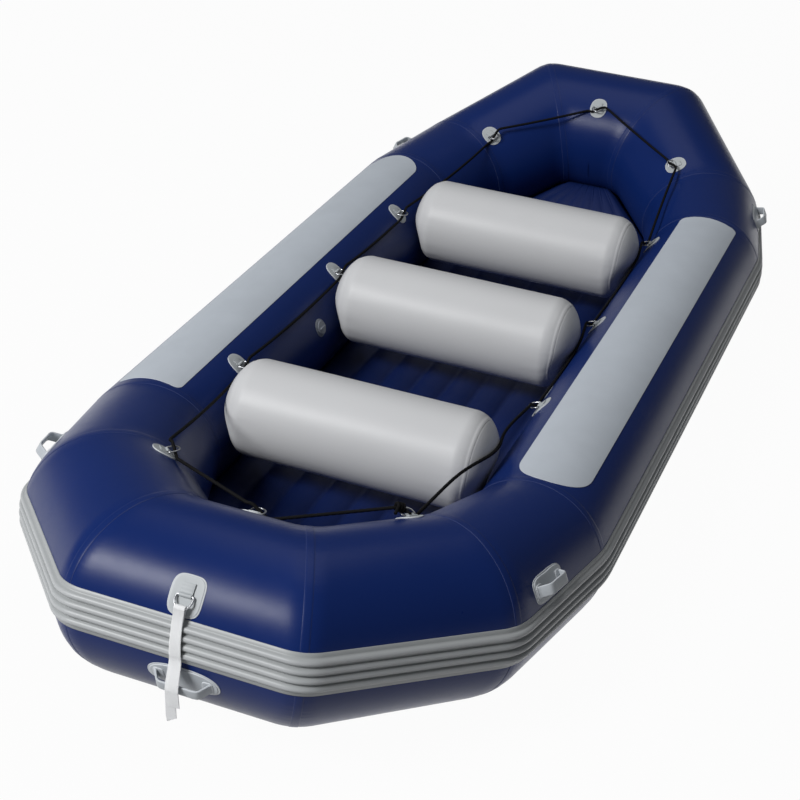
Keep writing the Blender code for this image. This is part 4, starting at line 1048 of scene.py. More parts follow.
class RAFT_OT_wear_sheets(bpy.types.Operator):
    """Lay the long wear sheets on the tops of the side tubes."""

    bl_idname = "raft.wear_sheets"
    bl_label = "Wear sheets"

    def execute(self, context):
        outline = wear_outline()
        levels = [(share / 10, 0.0, -SINK, 0.0) for share in range(1, 10)]
        levels += [(1.0, 0.0, -SINK, 0.6), (1.0, 0.0, WEAR_THICK * 0.6, 1.0)]
        levels += [(1.0, 0.0004, WEAR_THICK, 1.0), (1.0, 0.003, WEAR_THICK, 0.2)]
        levels += [(share / 20, 0.0, WEAR_THICK, 0.0) for share in range(19, 0, -1)]
        for side, segment in (("port", PORT), ("starboard", STARBOARD)):
            seat = Seat(segment, share_at_y(segment, 0.0, WEAR_LEAN[side]), WEAR_LEAN[side])
            bm = bmesh.new()
            rim = bm.verts.layers.float.new("rim")
            lay_patch(bm, seat, outline, levels, rim)
            made = new_piece(side + "_wear_patch_sheet", bm, [FINISH["wear"]],
                             replaces=[side + "_wear_patch"])
        return {"FINISHED"}


# Floor
def floor_core():
    """Port half of the line that the floor's rounded edge turns about, bow to stern, at each axis corner."""
    core = []
    for index in range(BOW_PORT, STERN + 1):
        radius = CORNERS[index][1]
        reach = radius + FLOOR_THICK / 2 + PLAY
        fall = (AXIS_Z - FLOOR_UNDER - FLOOR_THICK / 2) * radius / SIDE[2]
        core.append(mitre_point(index, -(math.pi - math.acos(fall / reach)), reach))
    return core


def plan_line(core, offset):
    """The core line in plan, moved outwards by offset, as (x, y, z)."""
    across = [Vector((-point.x, point.y, point.z)) for point in (core[0], core[-1])]
    run = [across[0]] + core + [across[1]]
    line = []
    for before, here, after in zip(run, run[1:], run[2:]):
        first = Vector((here.y - before.y, before.x - here.x)).normalized()
        second = Vector((after.y - here.y, here.x - after.x)).normalized()
        mitre = (first + second) / (1.0 + first.dot(second))
        line.append((here.x + mitre.x * offset, here.y + mitre.y * offset, here.z))
    return line


def along_line(line, y):
    """(x, z) of a line at y, held at its ends."""
    y = min(max(y, line[0][1]), line[-1][1])
    for (x, early, z), (later_x, late, later_z) in zip(line, line[1:]):
        if y <= late:
            share = (y - early) / (late - early)
            return x + (later_x - x) * share, z + (later_z - z) * share
    return line[-1][0], line[-1][2]


def rounded_line(line):
    """The line with its inner corners rounded as the tubes' mitres are."""
    points = [Vector(point) for point in line]
    reach = sizes().mitre_rounding * 1.3
    made = [points[0]]
    for before, here, after in zip(points, points[1:], points[2:]):
        made += corner_arc(here, before, after, reach)
    return [tuple(point) for point in made + points[-1:]]


CHANNEL_FADE = (0.42, 0.92)  # share of the floor's full width at which its channels end and are deepest
CHANNEL_STEPS, CHANNEL_POWER = 12, 2.6
VALLEY_LEFT, VALLEY_NICK = 0.06, 0.0012  # share of a valley's depth that is left at the ends; its seam
FLOOR_TRIM = 0.0016  # how far the dressed floor stays inside the frame's edge


def deck_section(half, offset_x, slack, widest):
    """(x, z) round the floor from its lower port edge, over the channels, to the bottom."""
    section, crest = [], []
    turns = [math.radians(turn) for turn in range(-FLOOR_EDGE, FLOOR_EDGE + 1, 12)]
    section += [(offset_x(half * math.cos(turn)), half * math.sin(turn)) for turn in turns]
    flat = section[-1][0]
    pitch = 2 * flat / FLOOR_CHANNELS
    edge = half - section[-1][1]
    full = min(1.0, max(0.0, (flat / widest - CHANNEL_FADE[0]) / (CHANNEL_FADE[1] - CHANNEL_FADE[0])))
    valley = FLOOR_VALLEY * (VALLEY_LEFT + (1 - VALLEY_LEFT) * full)
    for channel in range(FLOOR_CHANNELS):
        right = flat - channel * pitch
        for step in range(1, CHANNEL_STEPS):
            side = 2 * step / CHANNEL_STEPS - 1
            outermost = (channel == 0 and side < 0) or (channel == FLOOR_CHANNELS - 1 and side > 0)
            depth = edge if outermost else valley
            section.append((right - pitch * step / CHANNEL_STEPS, half - depth * abs(side) ** CHANNEL_POWER))
            crest.append(len(section) - 1)
        if channel < FLOOR_CHANNELS - 1:
            section.append((right - pitch, half - valley - VALLEY_NICK * full))
    section += [(-x, z) for x, z in section[len(turns) - 1::-1]]
    low = section[-1][0]
    section += [(low * (1 - step / 4), -half) for step in range(1, 8)]
    return [(x, z - (slack if at in crest else 0.0)) for at, (x, z) in enumerate(section)], crest


class RAFT_OT_floor(bpy.types.Operator):
    """Build the air floor with its lengthwise channels, and the skirt that joins it to the tubes."""

    bl_idname = "raft.floor"
    bl_label = "Floor and skirt"

    def execute(self, context):
        core = floor_core()
        half = FLOOR_THICK / 2
        outer = plan_line(core, half)
        start, stop = core[0].y, core[-1].y
        ends = [half * math.sin(math.radians(turn)) for turn in (86, 76, 64, 50, 34, 17)]
        rows = [start - end for end in ends]
        steps = round((stop - start) / 0.03)
        rows += [start + (stop - start) * step / steps for step in range(steps + 1)]
        rows += [stop + end for end in reversed(ends)]
        rings, uvs, crests = [], [], []
        lines = {}
        top_edge = half * math.cos(math.radians(FLOOR_EDGE)) - FLOOR_TRIM
        widest = max(point[0] for point in plan_line(core, top_edge))
        slack = slack_of(0.0025)
        for y in rows:
            past = max(start - y, y - stop, 0.0)
            swell = math.sqrt(max(1.0 - (past / half) ** 2, 0.0004))
            height = along_line(outer, y)[1]

            def offset_x(offset):
                if offset not in lines:
                    lines[offset] = rounded_line(plan_line(core, offset - FLOOR_TRIM))
                return along_line(lines[offset], y)[0]

            section, crest = deck_section(half, offset_x, slack, widest)
            crests += [len(rings) * len(section) + at for at in crest] if past == 0.0 else []
            rings.append([Vector((x, y, height + z * swell)) for x, z in section])
            uvs.append([(x, y) for x, _ in section + section[:1]])
        bm = bmesh.new()
        loft(bm, rings, uv=uvs)
        count = len(bm.verts)
        made = new_piece("floor_deck", bm, [FINISH["floor"]], replaces=["floor"],
                         sharp=60.0)
        free = set(crests)
        inflate(made, [at for at in range(count) if at not in free], pressure=2.2, reach=0.0028)
        self.skirt(core, outer, half)
        return {"FINISHED"}

    def skirt(self, core, outer, half):
        """The fabric from the floor's lower edge to the underside of the tubes."""
        inner = []
        for x, y, _ in plan_line(core, half * math.cos(FLANGE_TURN) + FLANGE_THICK):
            inner.append(Vector((x, y, along_line(outer, y)[1] - half * math.sin(FLANGE_TURN) - SINK)))
        inner = [Vector((-inner[0].x, inner[0].y, inner[0].z))] + inner
        inner += [Vector((-point.x, point.y, point.z)) for point in inner[:1:-1]]
        sill = [mitre_on(index, -FLANGE_LEAN, SINK) for index in range(12)]
        near, far = rounded_loop(inner), rounded_loop(sill)
        down = UP * FLANGE_THICK
        rings, uvs, run = [], [], 0.0
        for at, (here, there) in enumerate(zip(near, far)):
            run += (there - far[at - 1]).length if at else 0.0
            shares = [step / 5 for step in range(6)]
            top = [here.lerp(there, share) for share in shares]
            rings.append(top + [point - down for point in reversed(top)])
            uvs.append([(share * (there - here).length, run) for share in shares + shares[::-1] + [0.0]])
        uvs.append([(u, run + (far[0] - far[-1]).length) for u, _ in uvs[0]])
        bm = bmesh.new()
        loft(bm, rings, wrap=True, uv=uvs)
        made = new_piece("floor_skirt", bm, [FINISH["floor"]],
                         replaces=["floor_flange"], sharp=30.0)
        width = max((there - here).length for here, there in zip(near, far))


def rounded_loop(points):
    """A closed line with its corners rounded and a few points between them."""
    reach = sizes().mitre_rounding
    made = []
    for index, here in enumerate(points):
        after = points[(index + 1) % len(points)]
        made += corner_arc(here, points[index - 1], after, reach)
        ahead = (after - here).normalized()
        made += [(here + ahead * reach).lerp(after - ahead * reach, part / 5) for part in range(1, 5)]
    return made


INFLATE_FRAMES = 20


def slack_of(amount):
    """How far a piece is drawn in before it is blown up."""
    return amount


def inflate(obj, pinned, pressure, reach):
    """Blows a piece up as cloth between its pinned seams, and caps how far a point may move."""
    scene = bpy.context.scene
    rest = [vert.co.copy() for vert in obj.data.vertices]
    group = obj.vertex_groups.new(name="pinned")
    group.add(pinned, 1.0, "REPLACE")
    cloth = obj.modifiers.new("cloth", "CLOTH")
    settings = cloth.settings
    settings.quality = 5
    settings.mass = 0.25
    settings.use_pressure = True
    settings.uniform_pressure_force = pressure
    settings.effector_weights.gravity = 0.0
    settings.vertex_group_mass = group.name
    cloth.collision_settings.use_collision = False
    cloth.point_cache.frame_start = 1
    cloth.point_cache.frame_end = INFLATE_FRAMES
    for frame_number in range(1, INFLATE_FRAMES + 1):
        scene.frame_set(frame_number)
    graph = bpy.context.evaluated_depsgraph_get()
    blown = [vert.co.copy() for vert in obj.evaluated_get(graph).data.vertices]
    obj.modifiers.remove(cloth)
    obj.vertex_groups.clear()
    for vert, before, after in zip(obj.data.vertices, rest, blown):
        move = after - before
        vert.co = before + move * min(1.0, reach / max(move.length, 1e-9))
    scene.frame_set(1)
    obj.data.update()


# Thwarts
def thwart_half_length():
    """To the middle of the shoulder's arc, where the shoulder bears on the side tube."""
    reach = SIDE[2] + THWART_SHOULDER + PLAY
    fall = THWART_Z - (THWART_RADIUS - THWART_SHOULDER) - AXIS_Z
    return SIDE[0] - math.sqrt(reach**2 - fall**2)


DOME_SHARES = (0.0, 0.12, 0.24, 0.36, 0.47, 0.57, 0.66, 0.74, 0.80, 0.84)
DOME_OUTER_SHARES = (0.935, 0.952, 0.967, 0.98, 0.99, 0.9965, 1.0)
DOME_LAP = (  # share of the dome, height and mask across the seam where an end is welded in
    (0.866, 0.0, 0.8), (0.870, -0.0011, 1.0), (0.875, 0.0006, 0.8), (0.890, 0.0006, 0.8),
    (0.908, 0.0006, 0.8), (0.912, 0.0, 0.8))
DOME_POWER = 2.1
DOME_START = 0.012  # how far inboard of the shoulder an end starts to round
DOME_SWELL = 0.38  # how much deeper an end grows above the line where it bears on the side tube
SWELL_HEIGHTS = (-0.054, 0.036)  # from the thwart's axis, where the swelling starts and is full
THWART_END_STEPS, THWART_STEPS = (0.0, 0.008, 0.017, 0.030, 0.046), 14
CREASE_REACH, CREASE_DEPTH, CREASE_START = 0.08, 0.0016, 0.004  # from an end seam inwards


def thwart_profile(slack):
    """(x, radius, seam mask, pinned) from the middle of one end to the middle of the other."""
    middle = thwart_half_length()
    core, shoulder = THWART_RADIUS - THWART_SHOULDER, THWART_SHOULDER - slack

    def dome(share, height=0.0):
        depth = (DOME_START + shoulder + THWART_CROWN) * (1 - share**DOME_POWER) ** (1 / DOME_POWER)
        slant = height * 0.7
        return middle - DOME_START + depth + slant, (core + shoulder) * share + 0.001 * (1 - share) + slant

    half = [(*dome(share), 0.0, False) for share in DOME_SHARES]
    half += [(*dome(share, height), mask, True) for share, height, mask in DOME_LAP]
    for share in DOME_OUTER_SHARES:
        half.append((*dome(share), max(0.0, 1.0 - (share - DOME_LAP[-1][0]) * 4.0), False))
    inner, radius = middle - DOME_START - 0.004, THWART_RADIUS - slack
    half += [(inner - x, radius, max(0.0, 0.6 - x / 0.08), False) for x in THWART_END_STEPS]
    inner -= THWART_END_STEPS[-1]
    half += [(inner * (1 - step / THWART_STEPS), radius, 0.0, False) for step in range(1, THWART_STEPS)]
    return half + [(0.0, radius, 0.0, False)] + [(-x, *rest) for x, *rest in half[::-1]]


def swollen(x, z):
    """An end point of a thwart moved out over the side tube, where the tube curves away from it."""
    start, stop = SWELL_HEIGHTS
    share = max(0.0, min(1.0, (z - THWART_Z - start) / (stop - start)))
    past = max(0.0, abs(x) - thwart_half_length())
    return x + math.copysign(past * DOME_SWELL * share * share * (3 - 2 * share), x)


class RAFT_OT_thwarts(bpy.types.Operator):
    """Build the three inflated thwarts, blown up between their end seams."""

    bl_idname = "raft.thwarts"
    bl_label = "Thwarts"

    def execute(self, context):
        sides = sizes().tube_sides
        profile = thwart_profile(slack_of(0.0024))
        seam_x = profile[len(DOME_SHARES) + len(DOME_LAP)][0]
        for number, y in enumerate(THWART_Y):
            name = "thwart_%d" % (number + 1)
            bm = bmesh.new()
            layer = bm.verts.layers.float.new("seam")
            rings, uvs, masks, pinned = [], [], [], []
            for row, (x, radius, mask, held) in enumerate(profile):
                ring = []
                for step in range(sides):
                    turn = math.tau * step / sides
                    z = THWART_Z + radius * math.cos(turn)
                    ring.append(Vector((swollen(x, z), y + SHIFT_Y + radius * math.sin(turn), z)))
                rings.append(ring)
                masks.append([mask] * sides)
                uvs.append([(THWART_RADIUS * math.tau * step / sides, x) for step in range(sides + 1)])
                pinned += range(row * sides, row * sides + sides) if held else ()
            loft(bm, rings, uv=uvs, layer=layer, values=masks)
            made = new_piece(name + "_cushion", bm, [FINISH["thwart"]],
                             replaces=[name], sharp=60.0)
            inflate(made, pinned, pressure=4.0, reach=0.0030)
            self.crease(made, y + SHIFT_Y, abs(seam_x), number)
        return {"FINISHED"}

    def crease(self, obj, y, seam, seed):
        """Soft creases that run along a thwart from its end seams, strongest below."""
        for vert in obj.data.vertices:
            from_seam = seam - abs(vert.co.x)
            if from_seam < CREASE_START:
                continue
            out = Vector((0.0, vert.co.y - y, vert.co.z - THWART_Z)).normalized()
            turn = math.atan2(out.y, out.z)
            round_x, round_y = math.cos(turn), math.sin(turn)
            where = Vector((round_x * 5.0, round_y * 5.0, seed * 9.1 + math.copysign(3.0, vert.co.x)))
            fold = noise.noise(where) + 0.6 * noise.noise(where * 2.1 + Vector((0.0, 0.0, from_seam * 4.0)))
            near = math.exp(-((from_seam / CREASE_REACH) ** 2)) * (0.4 + 0.6 * (1.0 - out.z) / 2)
            long = noise.noise(Vector((vert.co.x * 5.0, round_x * 1.4, round_y * 1.4 + seed * 5.0)))
            vert.co += out * (CREASE_DEPTH * fold * near + 0.0007 * long * min(1.0, from_seam / 0.06))
        obj.data.update()


# Valves
def bent(place, radius):
    """A function that puts local x, y and lift on a cylinder that lies along the place's X axis."""
    def at(x, y, lift):
        reach = radius + lift
        return place @ Vector((x, reach * math.sin(y / radius), reach * math.cos(y / radius) - radius))
    return at


VALVE_BARREL, VALVE_STEPS = 0.023, 48  # the profile is bent to the fabric outside this radius


def valve_body(bm, place, at):
    """Flange bent to the fabric, with the straight barrel, cup and air way inside it."""
    rim = [(0.0255, -SINK), (0.0290, -SINK), (0.0300, 0.0004), (0.0300, 0.0014), (0.0294, 0.0024)]
    rim += [(0.0284, 0.0028), (0.0276, 0.0024), (0.0268, 0.0028), (0.0258, 0.0036), (0.0244, 0.0036)]
    bore = [(0.0220, 0.0030), (0.0140, 0.0030), (0.0140, -0.0254), (0.0060, -0.0254), (0.0060, -0.0294)]
    bore += [(0.0170, -0.0294), (0.0180, -0.0284), (0.0180, -0.0010)]
    rings = []
    for radius, height in rim + bore:
        ring = []
        for step in range(VALVE_STEPS):
            turn = math.tau * step / VALVE_STEPS
            x, y = radius * math.cos(turn), radius * math.sin(turn)
            bent_here = radius > VALVE_BARREL
            ring.append(at(x, y, height) if bent_here else place @ Vector((x, y, height + SEAT)))
        rings.append(ring)
    loft(bm, rings, wrap=True)


def valve_cap(bm, place, lift=PLAY):
    """Cap with a ribbed edge, a plug that fills the cup's mouth and a bar to turn it by."""
    base = 0.003 + lift + SEAT
    plug, wide = 0.0136, 0.0226
    profile = [(0.0040, base - 0.012), (plug - 0.001, base - 0.012), (plug, base - 0.011), (plug, base)]
    profile += [(wide, base), (wide, base + 0.0012), (wide, base + 0.0036), (wide - 0.0014, base + 0.005)]
    profile += [(wide * 0.80, base + 0.0052), (wide * 0.76, base + 0.0046), (wide * 0.70, base + 0.0046)]
    profile += [(wide * 0.66, base + 0.0050), (0.0040, base + 0.0052)]
    turned_shell(bm, profile, 96, place, ribs=(24, 0.0009, 4, 6))
    outline = superellipse((0.018, 0.0032), 5.0, 32)
    rings = []
    for share, height in ((1.0, 0.0040), (1.0, 0.0082), (0.97, 0.0094), (0.90, 0.0100), (0.5, 0.0101)):
        rings.append([place @ Vector((p.x * share, p.y * share, base + height)) for p in outline])
    loft(bm, rings)


FLOOR_VALVE_BEND = 4.0  # the floor is next to flat under its valve


def valve_places():
    """(name, place, function that bends its flange to what it sits on) of each valve."""
    places = []
    for side, segment in (("port", PORT), ("starboard", STARBOARD)):
        lean = VALVE_LEAN[side]
        place = Seat(segment, share_at_y(segment, VALVE_Y, lean), lean).place
        places.append((side, place, bent(place, SIDE[2])))
    for number, y in enumerate(THWART_Y):
        low = Matrix.Translation((THWART_VALVE_X, y + SHIFT_Y, THWART_Z - THWART_RADIUS))
        place = low @ Matrix.Rotation(math.pi, 4, "X")
        places.append(("thwart_%d" % (number + 1), place, bent(place, THWART_RADIUS)))
    half, y = FLOOR_THICK / 2, THWART_Y[-1] + SHIFT_Y
    flat = along_line(plan_line(floor_core(), half * math.cos(math.radians(FLOOR_EDGE))), y)[0]
    height = along_line(plan_line(floor_core(), half), y)[1] + half
    place = Matrix.Translation((flat / FLOOR_CHANNELS, y, height))
    places.append(("floor", place, bent(place, FLOOR_VALVE_BEND)))
    return places


class RAFT_OT_valves(bpy.types.Operator):
    """Build the air valves and their caps."""

    bl_idname = "raft.valves"
    bl_label = "Valves"

    def execute(self, context):
        for name, place, at in valve_places():
            bm = bmesh.new()
            valve_body(bm, place, at)
            if name.startswith("thwart"):
                valve_cap(bm, place, lift=0.0)
                self.moulding(name + "_valve", bm)
                continue
            self.moulding(name + "_valve_body", bm)
            bm = bmesh.new()
            valve_cap(bm, place)
            self.moulding(name + "_valve_cap", bm, body=name + "_valve_cap")
        return {"FINISHED"}

    def moulding(self, node, bm, body="hull"):
        new_piece(node + "_moulding", bm, [FINISH["valve"]], body=body,
                  replaces=[node])


# Rings, their patches and the lifeline
def loop_height(wire_radius):
    """Height of a ring's bar over the skin, with the patch and a layer of webbing under it."""
    return SEAT + PATCH_THICK + LOOP_THICK + wire_radius


def ring_place(place, wire_radius, tilt):
    """A ring's place: its bar is the local X axis, and the tilt lets its bow down to the skin."""
    return place @ Matrix.Translation((0.0, 0.0, loop_height(wire_radius))) @ Matrix.Rotation(-tilt, 4, "X")


def lay_band(bm, seat, path, half, thick):
    """A flat band whose middle line is (y, lift) in the seat's frame, as wide as half each way along X."""
    section = rounded_section(half, thick / 2, thick * 0.35)
    rings, uvs, run = [], [], 0.0
    for step, (y, lift) in enumerate(path):
        before, after = path[max(step - 1, 0)], path[min(step + 1, len(path) - 1)]
        ahead = Vector((after[0] - before[0], after[1] - before[1])).normalized()
        out = Vector((-ahead.y, ahead.x))
        run += math.dist(path[step - 1], (y, lift)) if step else 0.0
        rings.append([seat.at(a, y + out.x * t, lift + out.y * t) for a, t in section])
        uvs.append([(a, run) for a, _ in section + section[:1]])
    loft(bm, rings, uv=uvs)


LOOP_START, RIDGE_RISE = 0.0035, 0.0007
STITCH_INSET, STITCH_ENDS = 0.0028, (0.006, 0.0025)  # from the loop's sides, its bar and its tail


def webbing_loop(bm, seat, wire_radius, half, tail, ridges):
    """Webbing that goes round the ring's bar, with both ends sewn down beside it."""
    bar = loop_height(wire_radius)
    reach = wire_radius + PLAY + LOOP_THICK / 2
    upper, lower = SEAT + PATCH_THICK + LOOP_THICK * 1.5, SEAT + PATCH_THICK + LOOP_THICK * 0.5
    path = []
    steps = 24
    for step in range(steps):
        share = step / steps
        y = tail + (LOOP_START - tail) * share
        path.append((y, upper + RIDGE_RISE * abs(math.sin(math.pi * share * ridges))))
    for step in range(15):
        turn = math.radians(40.0 - 220.0 * step / 14)
        path.append((reach * math.sin(turn), bar + reach * math.cos(turn)))
    path += [(0.006, lower), (tail * 0.6, lower), (tail - 0.001, lower)]
    lay_band(bm, seat, path, half, LOOP_THICK * 0.95)


def stitch_box(seat, half, first, last, lift):
    """The path of a box of stitches over a webbing's tail."""
    x = half - STITCH_INSET
    corners = [(-x, first), (x, first), (x, last), (-x, last), (-x, first)]
    path = []
    for (ax, ay), (bx, by) in zip(corners, corners[1:]):
        path += [seat.at(ax + (bx - ax) * step / 8, ay + (by - ay) * step / 8, lift) for step in range(8)]
    return path


def ring_pad(name, seat, half, power, wire_radius, loop, tail, ridges, lip):
    """A patch with its sewn loop. The ridges are how often the tail is folded, and the lip is a thin rim."""
    outline = superellipse(half, power, 64)
    bm = bmesh.new()
    rim = bm.verts.layers.float.new("rim")
    lay_patch(bm, seat, outline, patch_levels(SEAT + PATCH_THICK, 0.0045 if lip else 0.0, lip), rim)
    webbing_loop(bm, seat, wire_radius, loop, tail, ridges)
    lift = SEAT + PATCH_THICK + 2 * LOOP_THICK + 0.0001 + (0.0003 if ridges else 0.0)
    path = stitch_box(seat, loop, STITCH_ENDS[0], tail - STITCH_ENDS[1], lift)
    pitch = sizes().stitch_pitch
    stitches = run_tree(name, [path], "stitches_along_path", {"Pitch": pitch, "Length": pitch * 0.7})
    add_mesh(bm, stitches)
    return new_piece(name + "_pad", bm, [FINISH["patch"]], replaces=[name])


def ring_wire(name, seat, wire_radius, half, arm, tilt):
    """D of round wire: its bar lies on the local X axis, and its bow hangs to -Y."""
    corner = 0.0042
    path = [(half - corner - (2 * half - 2 * corner) * step / 8, 0.0) for step in range(8, -1, -1)]
    for step in range(1, 5):
        turn = math.pi / 2 * step / 4
        path.append((half - corner + corner * math.sin(turn), -corner + corner * math.cos(turn)))
    path.append((half, -arm))
    path += [(half * math.cos(math.pi * step / 20), -arm - half * math.sin(math.pi * step / 20))
             for step in range(1, 20)]
    path.append((-half, -arm))
    for step in range(4, 0, -1):
        turn = math.pi / 2 * step / 4
        path.append((-half + corner - corner * math.sin(turn), -corner + corner * math.cos(turn)))
    place = ring_place(seat.place, wire_radius, tilt)
    bm = bmesh.new()
    add_mesh(bm, run_tree(name, [[place @ Vector((x, y, 0.0)) for x, y in path]], "sweep_along_path",
                          {"Radius": wire_radius, "Sides": 14}, closed=True))
    return new_piece(name + "_wire", bm, [FINISH["steel"]], body=name, replaces=[name])


def life_places():
    """(name, seat) of each of the lifeline's rings, in the order in which the rope passes them."""
    lean = {name: math.radians(value) for name, value in LIFE_LEAN.items()}
    places = [("bow", BOW, 0.5, lean["bow"]), ("bow_port", BOW_PORT, 1.0 - LIFE_SHARE, lean["bow_shoulder"])]
    for step, y in enumerate(LIFE_Y["port"]):
        places.append(("port_%d" % (step + 1), PORT, share_at_y(PORT, y, lean["port"]), lean["port"]))
    places.append(("stern_port", STERN_PORT, LIFE_SHARE, lean["stern_port"]))
    places.append(("stern", STERN, 0.5, lean["stern"]))
    places.append(("stern_starboard", STERN_STARBOARD, 1.0 - STERN_STARBOARD_SHARE, lean["stern_starboard"]))
    for step, y in reversed(list(enumerate(LIFE_Y["starboard"]))):
        share = share_at_y(STARBOARD, y, lean["starboard"])
        places.append(("starboard_%d" % (step + 1), STARBOARD, share, lean["starboard"]))
    places.append(("bow_starboard", BOW_STARBOARD, LIFE_SHARE, lean["bow_shoulder"]))
    return [(name, Seat(segment, share, angle)) for name, segment, share, angle in places]


def onto_side_tube(point, share):
    """A point of a span beside a side tube, drawn in to the tube, most in the middle of the span."""
    spoke = point - Vector((math.copysign(SIDE[0], point.x), point.y, AXIS_Z))
    lift = max(spoke.length - SIDE[2] - ROPE_RADIUS - PLAY, 0.0)
    return point - spoke.normalized() * lift * math.sqrt(math.sin(math.pi * share))


def skins_tree():
    """A tree of all the tube skins and cushions, to find what a point of the rope would lie in."""
    verts, faces = [], []
    for obj in bpy.context.scene.objects:
        if obj.name.endswith(("_tube_skin", "_cushion")):
            first = len(verts)
            verts += [vert.co.copy() for vert in obj.data.vertices]
            faces += [[first + at for at in face.vertices] for face in obj.data.polygons]
    return BVHTree.FromPolygons(verts, faces)


def clear_of(tree, point, reach):
    """The point, moved out to that reach of the nearest skin where it lies closer or inside."""
    near, normal, _, _ = tree.find_nearest(point)
    if (point - near).dot(normal) < reach and (point - near).length < SKIN_SEARCH:
        return near + normal * reach
    return point


RING_POINTS, SPAN_POINTS, ROPE_STEPS = 5, 6, 12  # of the rope's line at a ring, in a span and between points
LACE = 1.05 * LIFE_HALF  # half of the rope's run through a ring
SKIN_SEARCH, ROPE_ROUNDS = 0.05, 90


def rope_path():
    """The lifeline's middle line: five points at each ring and six in the span after it."""
    crossings = []
    for _, seat in life_places():
        ring = ring_place(seat.place, LIFE_WIRE, LIFE_TILT)
        eye = ring @ Vector((0.0, -LIFE_ARM - 0.25 * LIFE_HALF, 0.0))
        along, off = ring.to_3x3() @ Vector((-1.0, 0.0, 0.0)), ring.to_3x3() @ Vector((0.0, 0.0, 1.0))
        crossings.append((eye, along, off, seat.place.to_3x3() @ Vector((0.0, -1.0, 0.0))))
    path = []
    for step, (eye, along, off, flank) in enumerate(crossings):
        path += [eye - along * LACE * 2.0 + off * ROPE_RISE * 1.1, eye - along * LACE + off * ROPE_RISE, eye]
        path += [eye + along * LACE - off * ROPE_RISE, eye + along * LACE * 2.0 - off * ROPE_RISE * 1.1]
        later, later_along, later_off, later_flank = crossings[(step + 1) % len(crossings)]
        start, end = path[-1], later - later_along * LACE * 2.0 + later_off * ROPE_RISE * 1.1
        sag = ROPE_SAG * ((end - start).length / ROPE_SPAN) ** 2
        for part in range(1, SPAN_POINTS + 1):
            share = part / (SPAN_POINTS + 1)
            point = start.lerp(end, share) + (flank + later_flank) * sag * 2 * share * (1 - share)
            if max(abs(eye.y - SHIFT_Y), abs(later.y - SHIFT_Y)) < SIDE[1]:
                point = onto_side_tube(point, share)
            path.append(point)
    return path


def taut(path, tree):
    """The path drawn smooth over the skins that it touches. Its points at the rings stay."""
    lap, last_held = (RING_POINTS + SPAN_POINTS) * ROPE_STEPS, (RING_POINTS - 1) * ROPE_STEPS
    held = [step % lap <= last_held for step in range(len(path))]
    for _ in range(ROPE_ROUNDS):
        drawn = [point if held[at] else (path[at - 1] + point + path[(at + 1) % len(path)]) / 3
                 for at, point in enumerate(path)]
        path = [clear_of(tree, point, ROPE_RADIUS + 0.0006) for point in drawn]
    return path


def knot_paths():
    """The turns of the knot that closes the rope beside the bow port ring, and its two short tails."""
    points = rope_path()
    step = (RING_POINTS + SPAN_POINTS) * [name for name, _ in life_places()].index("bow_port")
    middle, ahead = points[step + 1], (points[step + 2] - points[step]).normalized()
    side = ahead.cross(UP).normalized()
    top = side.cross(ahead)
    turns, reach, steps = 3, 2.05 * ROPE_RADIUS, 12
    coil = []
    for part in range(turns * steps + 1):
        angle, run = math.tau * part / steps, (part / (turns * steps) - 0.5) * turns * 2.1 * ROPE_RADIUS
        coil.append(middle + ahead * run + side * reach * math.cos(angle) + top * reach * math.sin(angle))
    for end, way in ((0, -1), (-1, 1)):
        base, tail = coil[end].copy(), []
        for share in (0.35, 0.9, 1.5):
            point = base + ahead * way * reach * share + side * reach * share * 1.2
            tail.append(point - top * reach * 0.5 * share**2)
        coil = tail[::-1] + coil if end == 0 else coil + tail
    return [smooth_path(coil, 3, closed=False)]


class RAFT_OT_lifeline(bpy.types.Operator):
    """Build the lifeline's patches and rings, and the braided rope through them."""

    bl_idname = "raft.lifeline"
    bl_label = "Lifeline"

    def execute(self, context):
        for name, seat in life_places():
            ring_pad("life_patch_" + name, seat, LIFE_HALF_PAD, power=2.3, wire_radius=LIFE_WIRE,
                     loop=LIFE_LOOP, tail=0.021, ridges=0, lip=0.0)
            ring_wire("life_ring_" + name, seat, LIFE_WIRE, LIFE_HALF, LIFE_ARM, LIFE_TILT)
        path = taut(smooth_path(rope_path(), ROPE_STEPS), skins_tree())
        braid = {"Radius": ROPE_RADIUS - ROPE_BRAID / 2, "Sides": 24, "Step": sizes().rope_lay / 6,
                 "Braid depth": ROPE_BRAID, "Braid pitch": sizes().rope_lay, "Strands": 8.0}
        bm = bmesh.new()
        add_mesh(bm, run_tree("lifeline", [path], "sweep_along_path", braid, closed=True))
        add_mesh(bm, run_tree("knot", knot_paths(), "sweep_along_path", braid))
        new_piece("lifeline_braid", bm, [FINISH["rope"]], replaces=["lifeline_rope"])
        return {"FINISHED"}


# Tow fitting
def tow_seat():
    """The seat of the tow patch, in the middle of the bow, just above the strake."""
    return Seat(BOW, 0.5, beside_strake(BOW, 0.5, TOW_HALF[1], TOW_GAP))


def bow_handle_place():
    """(share along the bow tube, lean) of the handle under the strake."""
    middle = 0.5 + BOW_HANDLE_X / (2 * END[0])
    return middle, beside_strake(BOW, middle, -BOW_HANDLE_HALF[1], -BOW_HANDLE_GAP)


